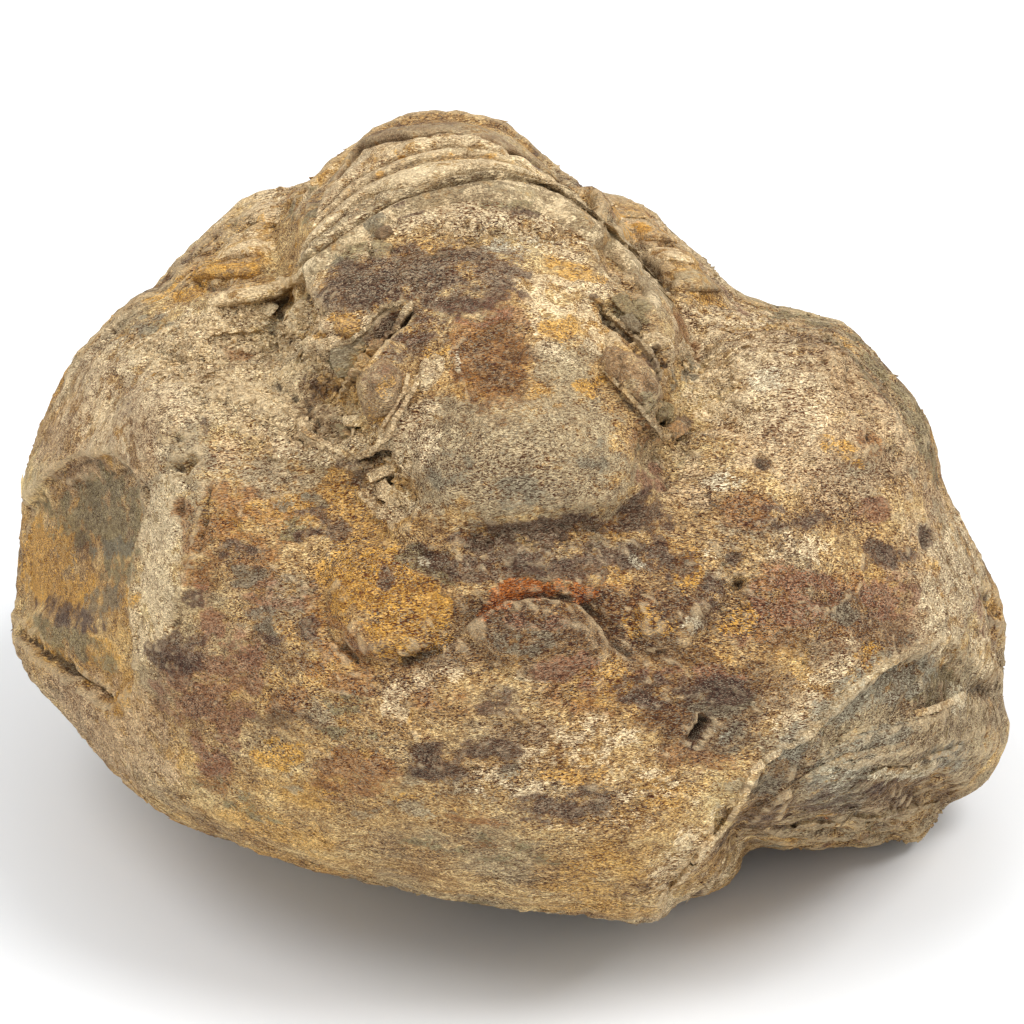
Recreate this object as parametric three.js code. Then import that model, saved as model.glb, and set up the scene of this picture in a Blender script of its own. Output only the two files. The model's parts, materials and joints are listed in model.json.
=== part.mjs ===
import * as THREE from "three";
import { mergeVertices } from "three/addons/utils/BufferGeometryUtils.js";

// A trilobite of the calymenid kind, preserved in the round with the stone that fills and carries it.
// The whole fossil is one piece of rock: head shield in front, thirteen thorax rings over the back,
// a small tail shield behind, and a rounded belly of stone with a worn flat that it rests on.
// Millimetres. The animal's long axis lies along Y with the head at -Y, and +Z is up.
// The form is described with the animal's middle plane at x = 0, and is moved at the end
// so that the origin lies on the ground under the middle of the piece.

// Driving dimensions.
const stone = {
  middle: new THREE.Vector3(1.2, 2, 13), // where its upper and lower halves meet
  halfWidth: 25.4,
  halfLength: 28,
  crown: 18.4, // from the middle up to the side lobes of the back, without the raised axis
  belly: 14, // from the middle down to the underside
};
const thorax = { startY: -1, rings: 13, pitch: 2.1, ringRise: 0.55 };
const tail = { ribs: 5, pitch: 1.75, share: 0.6 }; // its rolls rise this share of the thorax's
const pleura = { rise: 0.42, fadeFrom: 7, fadeOver: 8 }; // the ribs beside the axis, fading outwards
const axis = { height: 5.2, capLength: 3 }; // height above the side lobes, and how soon its ends close
const axialFurrow = { depth: 1.5, width: 1.3, opensOver: 6 };
const seamSoftness = 1.6; // radius that blends one swelling into the next

// The crest of the axis from the frontal lobe of the head to the tip of the tail:
// y, z, the half width of the raised axis, and the half width out to the furrow beside it.
const crest = [
  [-21.0, 22.6, 2.4, 5.6],
  [-19.4, 26.0, 4.4, 7.0],
  [-16.8, 28.9, 5.8, 8.8],
  [-13.0, 31.0, 6.6, 10.3],
  [-9.0, 32.9, 7.4, 11.4],
  [-5.5, 34.2, 8.9, 11.6],
  [-3.0, 34.9, 8.8, 10.4],
  [1.0, 35.5, 8.0, 8.9],
  [5.0, 35.6, 7.6, 8.3],
  [10.0, 34.6, 7.4, 8.0],
  [15.0, 32.0, 7.0, 7.6],
  [20.0, 27.8, 6.2, 6.8],
  [24.0, 22.4, 4.8, 5.4],
  [26.8, 16.6, 3.2, 3.8],
  [28.0, 11.0, 1.6, 2.4],
];

// Swellings: the middle of each, its half sizes across, along and up, and how softly it blends in.
const swellings = [
  // The pairs of side lobes of the glabella, largest at the back.
  { at: [-8.0, -7.2, 28.6], size: [3.3, 3.9, 3.4], soft: 1.2 },
  { at: [8.0, -7.0, 29.2], size: [3.3, 4.1, 3.4], soft: 1.2 },
  { at: [-6.4, -12.4, 27.6], size: [2.6, 2.9, 2.6], soft: 1.2 },
  { at: [6.9, -12.0, 27.8], size: [2.5, 3.0, 2.6], soft: 1.2 },
  // The frontal lobe.
  { at: [0.3, -14.2, 25.2], size: [6.9, 6.0, 5.2], soft: 2.4 },
  // The cheeks.
  { at: [-13.5, -8.5, 21.5], size: [8.0, 7.5, 6.6], soft: 2.6 },
  { at: [15.5, -7.0, 20.5], size: [8.0, 9.0, 7.4], soft: 2.6 },
];

// Furrows are pressed in along a line; a negative depth raises a welt.
const furrows = [
  // In front of the last ring of the head.
  {
    depth: 0.6,
    width: 1,
    line: [[-7, -4.8, 32.6], [0, -5.8, 34.2], [7, -4.6, 33]],
  },
  // Round the front of the glabella.
  {
    depth: 0.9,
    width: 1.5,
    line: [[-8, -16.5, 24.5], [-5.5, -19.4, 23.8], [0, -20.4, 23.8], [5.5, -19.6, 24], [8.4, -16.5, 25]],
  },
  // Behind the cheeks, where the head shield meets the first ring.
  {
    depth: 0.9,
    width: 1.1,
    line: [[-10.4, -1.6, 30], [-15, -0.6, 28], [-20, 0.6, 23]],
  },
  {
    depth: 0.9,
    width: 1.1,
    line: [[10.4, -1.6, 30], [16, -0.6, 28], [20, 0.2, 24.5]],
  },
  // The lip of the head shield.
  {
    depth: -0.8,
    width: 2.4,
    line: [[-11, -19.6, 20.5], [-7, -21.6, 20.6], [0, -22.6, 22.2], [6, -21.8, 20.8], [11, -19.8, 21.4]],
  },
];

// Flat faces where the stone has broken: which way each looks, and how far out it lies.
const breaks = [
  { facing: new THREE.Vector3(-0.93, -0.27, 0.22).normalize(), reach: 24.6, soft: 1.5 },
  { facing: new THREE.Vector3(0.6, -0.56, -0.574).normalize(), reach: 12, soft: 1 },
];

// ---- distances: negative inside, positive outside -------------------------------------------------

const softMin = (a, b, k) => {
  const h = Math.max(k - Math.abs(a - b), 0) / k;
  return Math.min(a, b) - (h * h * k) / 4;
};
const softMax = (a, b, k) => -softMin(-a, -b, k);
const bell = (distance, width) => Math.exp(-((distance / width) ** 2));
const smooth = (t) => THREE.MathUtils.smoothstep(t, 0, 1);

// Close to the distance from an ellipsoid's surface.
function ellipsoid(across, along, up, rx, ry, rz) {
  const [x, y, z] = [across / rx, along / ry, up / rz];
  const k0 = Math.hypot(x, y, z);
  const k1 = Math.hypot(x / rx, y / ry, z / rz);
  return k1 > 0 ? (k0 * (k0 - 1)) / k1 : -Math.min(rx, ry, rz);
}

// Distance from a chain of straight pieces.
function chain(p, points) {
  let best = Infinity;
  for (let i = 0; i + 1 < points.length; i++) {
    const piece = new THREE.Line3(new THREE.Vector3(...points[i]), new THREE.Vector3(...points[i + 1]));
    best = Math.min(best, piece.closestPointToPoint(p, true, new THREE.Vector3()).distanceTo(p));
  }
  return best;
}

// ---- the crest line as a run of evenly spaced samples ---------------------------------------------

const crestSamples = (() => {
  const count = 240;
  const curve = (rows) => new THREE.CatmullRomCurve3(rows.map((row) => new THREE.Vector3(...row)));
  const path = curve(crest.map(([y, z]) => [0, y, z]));
  const widths = curve(crest.map(([, , half, furrow]) => [half, furrow, 0]));
  let arc = 0;
  let before = path.getPoint(0);
  return Array.from({ length: count + 1 }, (_, i) => {
    const q = path.getPoint(i / count);
    const run = path.getTangent(i / count);
    const w = widths.getPoint(i / count);
    arc += q.distanceTo(before);
    before = q;
    return { y: q.y, z: q.z, arc, ty: run.y, tz: run.z, half: w.x, furrow: w.y };
  });
})();

const thoraxStart = crestSamples.find((s) => s.y >= thorax.startY).arc;
const tailStart = thoraxStart + thorax.rings * thorax.pitch;
const tailEnd = tailStart + tail.ribs * tail.pitch;

// Where p lies against the crest: how far along it, how far above it, and how far past its ends.
function onCrest(p) {
  let best = crestSamples[0];
  let nearest = Infinity;
  for (const s of crestSamples) {
    const d = (p.y - s.y) ** 2 + (p.z - s.z) ** 2;
    if (d < nearest) {
      nearest = d;
      best = s;
    }
  }
  const [dy, dz] = [p.y - best.y, p.z - best.z];
  const past = dy * best.ty + dz * best.tz;
  return { ...best, arc: best.arc + past, past, above: dz * best.ty - dy * best.tz };
}

// ---- the form ------------------------------------------------------------------------------------

// Rings and ribs repeat along the crest: a rounded roll for each, with a narrow groove in front of it.
function roll(arc) {
  if (arc < thoraxStart || arc > tailEnd) return 0;
  const skew = 0.7; // below 1 a roll is steeper in front than behind
  const height = (turn) => Math.sin(Math.PI * (turn % 1) ** skew);
  if (arc < tailStart) return height((arc - thoraxStart) / thorax.pitch);
  const left = (tailEnd - arc) / (tailEnd - tailStart);
  return tail.share * Math.sqrt(left) * height((arc - tailStart) / tail.pitch);
}

function surfaceDistance(p) {
  const { middle, halfWidth, halfLength, crown, belly } = stone;
  const height = p.z > middle.z ? crown : belly;
  let d = ellipsoid(p.x - middle.x, p.y - middle.y, p.z - middle.z, halfWidth, halfLength, height);

  const place = onCrest(p);
  const beside = Math.abs(p.x) - place.half;
  const ribShare = smooth((beside - 0.4) / 1.5) * (1 - smooth((beside - pleura.fadeFrom) / pleura.fadeOver));
  d -= pleura.rise * ribShare * roll(place.arc + 0.05 * beside);

  for (const { at, size, soft } of swellings) {
    d = softMin(d, ellipsoid(p.x - at[0], p.y - at[1], p.z - at[2], ...size), soft);
  }

  // The raised axis has an elliptical section, and its rings bow a little forward at the sides.
  const aboveMiddle = place.above + axis.height;
  const axisForm = ellipsoid(p.x, place.past, aboveMiddle, place.half, axis.capLength, axis.height);
  d = softMin(d, axisForm - thorax.ringRise * roll(place.arc + 0.02 * p.x * p.x), seamSoftness);

  const nearTop = smooth(place.above / axis.height + 3) * bell(place.past, axis.capLength);
  const opening = nearTop * smooth(place.arc / axialFurrow.opensOver);
  d += axialFurrow.depth * opening * bell(Math.abs(p.x) - place.furrow, axialFurrow.width);
  for (const { depth, width, line } of furrows) d += depth * bell(chain(p, line), width);
  for (const { facing, reach, soft } of breaks) d = softMax(d, p.dot(facing) - reach, soft);
  return d;
}

// ---- the outline that the form meets --------------------------------------------------------------

// The fossil is shown head on, from a little above and a little to one side.
const display = (() => {
  const azimuth = THREE.MathUtils.degToRad(-8);
  const elevation = THREE.MathUtils.degToRad(25);
  const flat = Math.cos(elevation);
  const ahead = new THREE.Vector3(-Math.sin(azimuth) * flat, Math.cos(azimuth) * flat, -Math.sin(elevation));
  const right = new THREE.Vector3(Math.cos(azimuth), Math.sin(azimuth), 0);
  const up = new THREE.Vector3().crossVectors(right, ahead);
  return { target: new THREE.Vector3(2, 0, 17), distance: 260, ahead, right, up };
})();

// Across and up from the middle of that view, at the target's distance.
const outline = [
  [-3.6, 20.1], [-1.6, 19.8], [0.9, 18.6], [3.9, 16.3], [6.4, 15.3], [8.9, 13.6], [11.4, 10.8],
  [14.9, 9.8], [17.4, 8.8], [20.6, 4.6], [21.6, 1.6], [23.2, -1.4], [24.4, -4.4], [24.7, -9.4], [24.4, -12.1],
  [21.9, -14.6], [20.4, -16.1], [16.4, -16.8], [11.7, -17.2], [9.4, -18.9], [7.4, -20.1], [6.4, -20.6],
  [0.4, -19.9], [-5.6, -18.6], [-9.6, -17.6], [-13.1, -16.3], [-16.6, -15.2], [-19.1, -13.9], [-21.6, -11.4],
  [-24.0, -8.6], [-25.0, -6.4], [-24.9, -3.4], [-24.3, 0.6], [-23.4, 3.8], [-22.6, 6.6], [-20.9, 9.0],
  [-19.1, 10.6], [-16.2, 13.2], [-13.6, 15.6], [-10.6, 16.3], [-8.6, 17.8], [-6.6, 19.2],
];

// How far the outline is from the middle of the view in a direction.
function outlineReach(angle) {
  const [cx, cy] = [Math.cos(angle), Math.sin(angle)];
  const hits = outline.map(([ax, ay], i) => {
    const [bx, by] = outline[(i + 1) % outline.length];
    const [ex, ey] = [bx - ax, by - ay];
    const cross = cx * ey - cy * ex;
    const share = (ax * cy - ay * cx) / cross;
    return share >= 0 && share <= 1 ? (ax * ey - ay * ex) / cross : 0;
  });
  return Math.max(...hits);
}

// Eases the rim of the form out or in, so that from the display view it meets the outline.
function fitOutline(points) {
  const bins = 120;
  const wrap = (k) => THREE.MathUtils.euclideanModulo(k, bins);
  const views = points.map((p) => {
    const off = p.clone().sub(display.target);
    const scale = display.distance / (display.distance + off.dot(display.ahead));
    const [across, up] = [off.dot(display.right) * scale, off.dot(display.up) * scale];
    return { off, turn: (Math.atan2(up, across) / (2 * Math.PI)) * bins, radius: Math.hypot(across, up) };
  });
  const rim = new Array(bins).fill(0);
  for (const { turn, radius } of views) {
    const bin = wrap(Math.round(turn));
    rim[bin] = Math.max(rim[bin], radius);
  }
  const ratio = rim.map((r, i) => outlineReach((i / bins) * 2 * Math.PI) / r);
  const between = (list, turn) => {
    const low = Math.floor(turn);
    return THREE.MathUtils.lerp(list[wrap(low)], list[wrap(low + 1)], turn - low);
  };
  const [still, whole] = [0.35, 0.95]; // shares of the way out at which the movement starts and is full
  points.forEach((p, i) => {
    const { off, turn, radius } = views[i];
    const share = smooth((radius / between(rim, turn) - still) / (whole - still));
    const gain = (between(ratio, turn) - 1) * share;
    p.addScaledVector(display.right, off.dot(display.right) * gain);
    p.addScaledVector(display.up, off.dot(display.up) * gain);
  });
}

// ---- the mesh ------------------------------------------------------------------------------------

// The surface is found along rays from one point. Rows of rays turn round the X axis and columns spread
// sideways, so that a row lies in each groove and on each ring, and a column lies in each axial furrow.
const rayCentre = new THREE.Vector3(0, 1, 14);
const grid = { columns: 44, axisColumns: 20, plainRows: 52 };

const turnOf = ({ y, z }) => Math.atan2(z - rayCentre.z, y - rayCentre.y);

function rowTurns() {
  const turnAt = (arc) => turnOf(crestSamples.find((s) => s.arc >= arc) ?? crestSamples.at(-1));
  const turns = [];
  for (let i = 0; i < thorax.rings; i++) {
    for (const share of [0, 0.3, 0.72]) turns.push(turnAt(thoraxStart + (i + share) * thorax.pitch));
  }
  for (let i = 0; i <= tail.ribs; i++) {
    for (const share of [0, 0.5]) turns.push(turnAt(tailStart + (i + share) * tail.pitch));
  }
  // The rest of the way round: over the head, down the front, under the belly and up behind.
  const [front, back] = [turns[0], turns.at(-1)];
  const span = 2 * Math.PI - (front - back);
  for (let i = 1; i < grid.plainRows; i++) {
    const t = i / grid.plainRows;
    const closerOnHead = 0.1 * Math.sin(Math.PI * t) * (t - 1);
    turns.push(front + span * (t + closerOnHead));
  }
  return turns.sort((a, b) => a - b);
}

// The sideways angle of the axial furrow in a row, easing to an even spread where there is no axis.
function furrowAngle(turn) {
  const even = (Math.PI / 2) * (grid.axisColumns / grid.columns);
  const nearest = crestSamples.reduce((a, b) => {
    const miss = (s) => 1 - Math.cos(turnOf(s) - turn);
    return miss(b) < miss(a) ? b : a;
  });
  const reach = Math.hypot(nearest.y - rayCentre.y, nearest.z - rayCentre.z) - axis.height / 2;
  const away = Math.acos(Math.min(1, Math.cos(turnOf(nearest) - turn)));
  return THREE.MathUtils.lerp(Math.atan2(nearest.furrow, reach), even, smooth(away / 0.8));
}

function rayDirection(turn, column) {
  const edge = furrowAngle(turn);
  const half = grid.columns / 2;
  const inner = grid.axisColumns / 2;
  const steps = Math.abs(column - half);
  const outward = Math.max(0, (steps - inner) / (half - inner)) ** 1.3; // closest together beside the furrow
  const away = edge * Math.min(1, steps / inner) + (Math.PI / 2 - edge) * outward;
  const angle = column > half ? away : -away;
  const flat = Math.cos(angle);
  return new THREE.Vector3(Math.sin(angle), flat * Math.cos(turn), flat * Math.sin(turn));
}

function surfacePoint(direction) {
  const at = (r) => rayCentre.clone().addScaledVector(direction, r);
  const step = 0.6;
  let outer = 40;
  while (surfaceDistance(at(outer - step)) > 0) outer -= step;
  let inner = outer - step;
  for (let i = 0; i < 16; i++) {
    const half = (inner + outer) / 2;
    if (surfaceDistance(at(half)) > 0) outer = half;
    else inner = half;
  }
  return at(inner);
}

function makeFossil() {
  const turns = rowTurns();
  const ball = new THREE.SphereGeometry(1, turns.length, grid.columns);
  ball.deleteAttribute("uv");
  ball.deleteAttribute("normal");
  const geometry = mergeVertices(ball);
  const position = geometry.attributes.position;
  const points = [];
  for (let i = 0; i < position.count; i++) {
    const [x, y, z] = [position.getX(i), position.getY(i), position.getZ(i)];
    const row = Math.round((Math.atan2(z, -x) / (2 * Math.PI)) * turns.length);
    const column = Math.round((Math.asin(THREE.MathUtils.clamp(y, -1, 1)) / Math.PI + 0.5) * grid.columns);
    const turn = turns[THREE.MathUtils.euclideanModulo(row, turns.length)];
    points.push(surfacePoint(rayDirection(turn, column)));
  }
  fitOutline(points);
  points.forEach((p, i) => position.setXYZ(i, p.x, p.y, Math.max(0, p.z)));
  geometry.computeBoundingBox();
  const middle = geometry.boundingBox.getCenter(new THREE.Vector3());
  geometry.translate(-middle.x, -middle.y, 0);
  geometry.computeVertexNormals();
  return geometry;
}

const rock = new THREE.MeshStandardMaterial({ color: 0xb39a72, roughness: 0.92, metalness: 0 });
const fossil = new THREE.Mesh(makeFossil(), rock);
fossil.name = "fossil_stone";

const part = new THREE.Group();
part.add(fossil);
export default part;
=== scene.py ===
import json
import math
from itertools import product

import bmesh
import bpy
import numpy as np
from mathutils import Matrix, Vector
from mathutils.bvhtree import BVHTree

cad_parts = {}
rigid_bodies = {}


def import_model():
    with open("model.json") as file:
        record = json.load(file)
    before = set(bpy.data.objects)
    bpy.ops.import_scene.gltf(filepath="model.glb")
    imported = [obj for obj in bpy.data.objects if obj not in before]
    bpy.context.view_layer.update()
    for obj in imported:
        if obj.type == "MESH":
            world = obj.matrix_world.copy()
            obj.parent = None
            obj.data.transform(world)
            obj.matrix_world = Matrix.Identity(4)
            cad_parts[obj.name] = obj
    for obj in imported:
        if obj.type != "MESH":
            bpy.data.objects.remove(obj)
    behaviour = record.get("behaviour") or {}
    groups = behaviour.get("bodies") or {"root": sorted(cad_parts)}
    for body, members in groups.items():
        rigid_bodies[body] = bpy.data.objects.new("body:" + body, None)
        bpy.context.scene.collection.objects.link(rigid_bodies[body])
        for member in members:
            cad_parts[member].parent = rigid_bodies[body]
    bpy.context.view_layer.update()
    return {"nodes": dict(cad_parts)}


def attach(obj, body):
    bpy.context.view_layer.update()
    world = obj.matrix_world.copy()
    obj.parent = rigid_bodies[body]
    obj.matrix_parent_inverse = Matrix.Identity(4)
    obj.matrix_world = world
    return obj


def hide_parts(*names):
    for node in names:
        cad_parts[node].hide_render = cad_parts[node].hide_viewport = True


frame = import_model()
mm = 0.001  # the sculpting below is in millimetres, the finished pieces are in metres


# The camera, and places in its picture.
camera = {
    "target": (0.21, -2.03, 17.0),  # mm
    "distance": 260.0,
    "azimuth": -8.0,
    "elevation": 25.0,
    "pixel": 0.05,  # mm across at the target's distance
    "side": 1024,  # pixels
}


def cameraAxes():
    a, e = math.radians(camera["azimuth"]), math.radians(camera["elevation"])
    ahead = np.array([-math.sin(a) * math.cos(e), math.cos(a) * math.cos(e), -math.sin(e)])
    right = np.array([math.cos(a), math.sin(a), 0.0])
    return right, np.cross(right, ahead), ahead


right, up, ahead = cameraAxes()
eye = np.array(camera["target"]) - ahead * camera["distance"]
pixelsPerSlope = camera["distance"] / camera["pixel"]


def inPicture(points):
    off = points - eye
    depth = off @ ahead
    middle = camera["side"] / 2
    return (middle + pixelsPerSlope * (off @ right) / depth,
            middle - pixelsPerSlope * (off @ up) / depth, depth)


def makeCamera():
    lens = bpy.data.cameras.new("camera")
    lens.sensor_width = 36.0
    lens.lens = 36.0 * pixelsPerSlope / camera["side"]
    lens.clip_start = 0.01
    lens.clip_end = 20.0
    o = bpy.data.objects.new("camera", lens)
    o.location = eye * mm
    o.rotation_euler = Vector(ahead).to_track_quat("-Z", "Y").to_euler()
    bpy.context.scene.collection.objects.link(o)
    bpy.context.scene.camera = o


def hashed(cell, seed):
    # an even random number from 0 to 1 for each cell of a grid
    h = cell[..., 0] * 374761393 + cell[..., 1] * 668265263 + cell[..., 2] * 1274126177
    h = (h + seed * 144665) & 0xFFFFFFFF
    h = ((h ^ (h >> 13)) * 1103515245) & 0xFFFFFFFF
    return ((h ^ (h >> 16)) & 0xFFFF) / 65535.0


def wave(points, size, seed=0, octaves=1, rough=0.5):
    # smooth value noise from -1 to 1, with features about size mm across
    total, weight, gain = 0.0, 0.0, 1.0
    for octave in range(octaves):
        q = points / size * 2.0 ** octave + 37.7 * (octave + 1)
        cell = np.floor(q).astype(np.int64)
        f = q - cell
        f = f * f * f * (f * (f * 6 - 15) + 10)
        value = 0.0
        for corner in product((0, 1), repeat=3):
            share = np.prod(np.where(corner, f, 1 - f), axis=1)
            value = value + share * hashed(cell + np.array(corner), seed + octave)
        total = total + gain * (2 * value - 1)
        weight += gain
        gain *= rough
    return total / weight * 1.6


def clods(points, size, seed=0):
    # heaped grains of many sizes: the height of the tallest one over each point, from 0 to 1
    q = points / size
    cell = np.floor(q).astype(np.int64)
    height = np.zeros(len(q))
    for step in product((-1, 0, 1), repeat=3):
        c = cell + np.array(step)
        spot = c + np.stack([hashed(c, seed + k) for k in (1, 2, 3)], axis=1)
        tall = 0.35 + 0.65 * hashed(c, seed + 4)
        away = ((spot - q) ** 2).sum(1) / (0.95 * tall) ** 2
        height = np.maximum(height, tall * np.sqrt(np.clip(1 - away, 0, 1)))
    return height


def bedding(points):
    # the stone's flat layers: distances shrink along them and grow across them
    level = points[:, 2] + 0.35 * wave(points, 9.0, 91)
    return np.stack([points[:, 0], points[:, 1], level * 1.5], axis=1)


def ease(t):
    t = np.clip(t, 0.0, 1.0)
    return t * t * (3 - 2 * t)


# The stone's surface is one even net of squares, closer together on the side that the camera sees.
net = {
    "squares": 128,  # along each edge of the cube that the net starts from
    "centre": (-1.8, -1.0, 14.0),  # mm, inside the stone
    "crowding": 0.42,  # how much closer the net is on the shown side
    "relax": 10,
}


def cubeBall(n):
    t = np.tan(np.linspace(-math.pi / 4, math.pi / 4, n + 1))
    a, b = np.meshgrid(t, t, indexing="ij")
    corners = np.arange((n + 1) ** 2).reshape(n + 1, n + 1)
    square = [corners[:-1, :-1], corners[1:, :-1], corners[1:, 1:], corners[:-1, 1:]]
    square = np.stack(square, axis=-1).reshape(-1, 4)
    points, quads = [], []
    for axis in range(3):
        for sign in (1, -1):
            side = np.zeros((a.size, 3))
            side[:, axis] = sign
            side[:, (axis + 1) % 3] = a.ravel()
            side[:, (axis + 2) % 3] = b.ravel()
            points.append(side)
            quads.append((square if sign > 0 else square[:, ::-1]) + len(quads) * a.size)
    points = np.concatenate(points)
    points /= np.linalg.norm(points, axis=1)[:, None]
    unique, inverse = np.unique(np.round(points, 7), axis=0, return_inverse=True)
    return unique, inverse.ravel()[np.concatenate(quads)]


class Net:
    def __init__(self, points, quads):
        self.points, self.quads = points, quads
        sides = np.concatenate([quads[:, [i, (i + 1) % 4]] for i in range(4)])
        sides = np.unique(np.sort(sides, axis=1), axis=0)
        self.a = np.concatenate([sides[:, 0], sides[:, 1]])
        self.b = np.concatenate([sides[:, 1], sides[:, 0]])
        self.degree = np.bincount(self.a, minlength=len(points))

    def around(self, values):
        # the mean of each point's neighbours
        if values.ndim == 1:
            return np.bincount(self.a, values[self.b], len(values)) / self.degree
        return np.stack([self.around(values[:, k]) for k in range(values.shape[1])], axis=1)

    def relaxed(self, values, times):
        for _ in range(times):
            values = 0.5 * values + 0.5 * self.around(values)
        return values

    def normals(self):
        p = self.points[self.quads]
        n = np.cross(p[:, 2] - p[:, 0], p[:, 3] - p[:, 1])
        total = np.stack([sum(np.bincount(self.quads[:, i], n[:, k], len(self.points)) for i in range(4))
                          for k in range(3)], axis=1)
        return total / np.linalg.norm(total, axis=1)[:, None]

    def swell(self, amount):
        self.points = self.points + self.normals() * amount[:, None]


def cadSurface():
    # the CAD's stone with its facets rounded off, in mm
    b = bmesh.new()
    b.from_mesh(frame["nodes"]["fossil_stone"].data)
    bmesh.ops.remove_doubles(b, verts=b.verts, dist=1e-6)
    bmesh.ops.scale(b, vec=(1 / mm,) * 3, verts=b.verts)
    for _ in range(2):
        bmesh.ops.smooth_vert(b, verts=b.verts, factor=0.5,
                              use_axis_x=True, use_axis_y=True, use_axis_z=True)
    tree = BVHTree.FromBMesh(b)
    b.free()
    return tree


def castNet():
    directions, quads = cubeBall(net["squares"])
    directions = directions - ahead * net["crowding"]
    directions /= np.linalg.norm(directions, axis=1)[:, None]
    tree = cadSurface()
    centre = Vector(net["centre"])
    hits = [tree.ray_cast(centre, Vector(d))[0] for d in directions]
    skin = Net(np.array(hits), quads)
    skin.points = skin.relaxed(skin.points, net["relax"])
    return skin


# The rings of the back.
crest = {
    "middle": -1.79,  # x of the animal's middle plane, mm
    "line": [(-23.0, 22.6), (-18.8, 28.9), (-15.0, 31.0), (-11.0, 32.9), (-7.5, 34.2), (-5.0, 34.9),
             (-1.0, 35.5), (3.0, 35.6), (8.0, 34.6), (13.0, 32.0), (18.0, 27.8), (22.0, 22.4), (24.8, 16.6),
             (26.0, 11.0)],
    "axisHalf": [6.0, 6.6, 7.0, 7.4, 8.9, 8.8, 8.0, 7.6, 7.4, 7.0, 6.2, 4.8, 3.2, 1.6],
}
rings = {  # the ones over the top and down the back; the first ones are shells, further down
    "firstAt": 7.4,
    "pitch": 2.1,
    "count": 8,
    "tailPitch": 1.6,
    "tailCount": 5,
    "rise": 0.75,
    "ribRise": 0.5,
}


def alongCrest(points):
    line = np.array(crest["line"])
    fine = np.linspace(0, len(line) - 1, 260)
    y = np.interp(fine, np.arange(len(line)), line[:, 0])
    z = np.interp(fine, np.arange(len(line)), line[:, 1])
    for _ in range(30):
        y[1:-1] = (y[:-2] + 2 * y[1:-1] + y[2:]) / 4
        z[1:-1] = (z[:-2] + 2 * z[1:-1] + z[2:]) / 4
    half = np.interp(fine, np.arange(len(line)), crest["axisHalf"])
    arc = np.concatenate([[0], np.cumsum(np.hypot(np.diff(y), np.diff(z)))])
    arc -= np.interp(rings["firstAt"], y, arc)
    nearest = np.zeros(len(points), dtype=int)
    best = np.full(len(points), 1e9)
    for i in range(len(y)):
        d = (points[:, 1] - y[i]) ** 2 + (points[:, 2] - z[i]) ** 2
        closer = d < best
        best[closer] = d[closer]
        nearest[closer] = i
    ty, tz = np.gradient(y, arc), np.gradient(z, arc)
    past = (points[:, 1] - y[nearest]) * ty[nearest] + (points[:, 2] - z[nearest]) * tz[nearest]
    return arc[nearest] + past, half[nearest], np.sqrt(best)


def ringRelief(points):
    arc, half, below = alongCrest(points)
    across = np.abs(points[:, 0] - crest["middle"])
    wander = 0.3 * wave(points, 4.0, 3) + 0.12 * wave(points, 1.2, 4)
    s = arc + 0.018 * np.minimum(across, half) ** 2 + 0.04 * np.maximum(across - half, 0) + wander
    end = rings["count"] * rings["pitch"]
    turn = np.where(s < end, s / rings["pitch"], rings["count"] + (s - end) / rings["tailPitch"])
    t = turn % 1.0
    roll = np.sin(math.pi * t ** 0.62) ** 0.8
    groove = np.exp(-((np.minimum(t, 1 - t) * rings["pitch"] / 0.16) ** 2))
    last = rings["count"] + rings["tailCount"]
    on = ease(turn / 0.3) * ease((last - turn) / 3)
    on *= np.where(turn > rings["count"], 0.6, 1.0)
    axis = ease((half + 0.6 - across) / 1.2)
    flank = ease((across - half - 0.6) / 1.4) * (1 - ease((across - half - 8.0) / 7.0))
    flank *= ease((22 - below) / 5)
    height = rings["rise"] * axis + rings["ribRise"] * flank
    return on * (height * (roll - 0.45) - 0.35 * groove * (axis + 0.8 * flank)), groove * on


def shownShare(skin):
    # 1 where a point is in the camera's sight, 0 where the stone hides it
    x, y, depth = inPicture(skin.points)
    cell = 8
    column = np.clip((x / cell).astype(int), 0, camera["side"] // cell)
    row = np.clip((y / cell).astype(int), 0, camera["side"] // cell)
    nearest = np.full((camera["side"] // cell + 1,) * 2, 1e9)
    np.minimum.at(nearest, (row, column), depth)
    facing = -(skin.normals() @ ahead)
    share = ease(facing / 0.2 + 0.3) * (depth < nearest[row, column] + 2.2)
    return skin.relaxed(share, 4)


def pathDistance(x, y, path, closed=False):
    # distance from a path in pixels, how far along it from 0 to 1, and the signed side
    corners = list(path) + ([path[0]] if closed else [])
    best = np.full(len(x), 1e9)
    along = np.zeros(len(x))
    side = np.zeros(len(x))
    lengths = [math.dist(p, q) for p, q in zip(corners, corners[1:])]
    walked = 0.0
    for (ax, ay), (bx, by), length in zip(corners, corners[1:], lengths):
        ux, uy = (bx - ax) / length, (by - ay) / length
        vx, vy = x - ax, y - ay
        t = np.clip(vx * ux + vy * uy, 0, length)
        d = np.hypot(vx - t * ux, vy - t * uy)
        closer = d < best
        best = np.where(closer, d, best)
        along = np.where(closer, (walked + t) / sum(lengths), along)
        side = np.where(closer, np.sign(vx * uy - vy * ux), side)
        walked += length
    return best, along, side


def insideOutline(x, y, outline):
    inside = np.zeros(len(x), dtype=bool)
    for (ax, ay), (bx, by) in zip(outline, outline[1:] + outline[:1]):
        crosses = (ay > y) != (by > y)
        inside ^= crosses & (x < (bx - ax) * (y - ay) / (by - ay + 1e-9) + ax)
    return inside


def paced(path, closed=False):
    # a path's corners, and how far along it each of them is
    corners = np.array(list(path) + ([path[0]] if closed else []), dtype=float)
    return corners, np.concatenate([[0], np.cumsum(np.hypot(*np.diff(corners, axis=0).T))])


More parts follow.
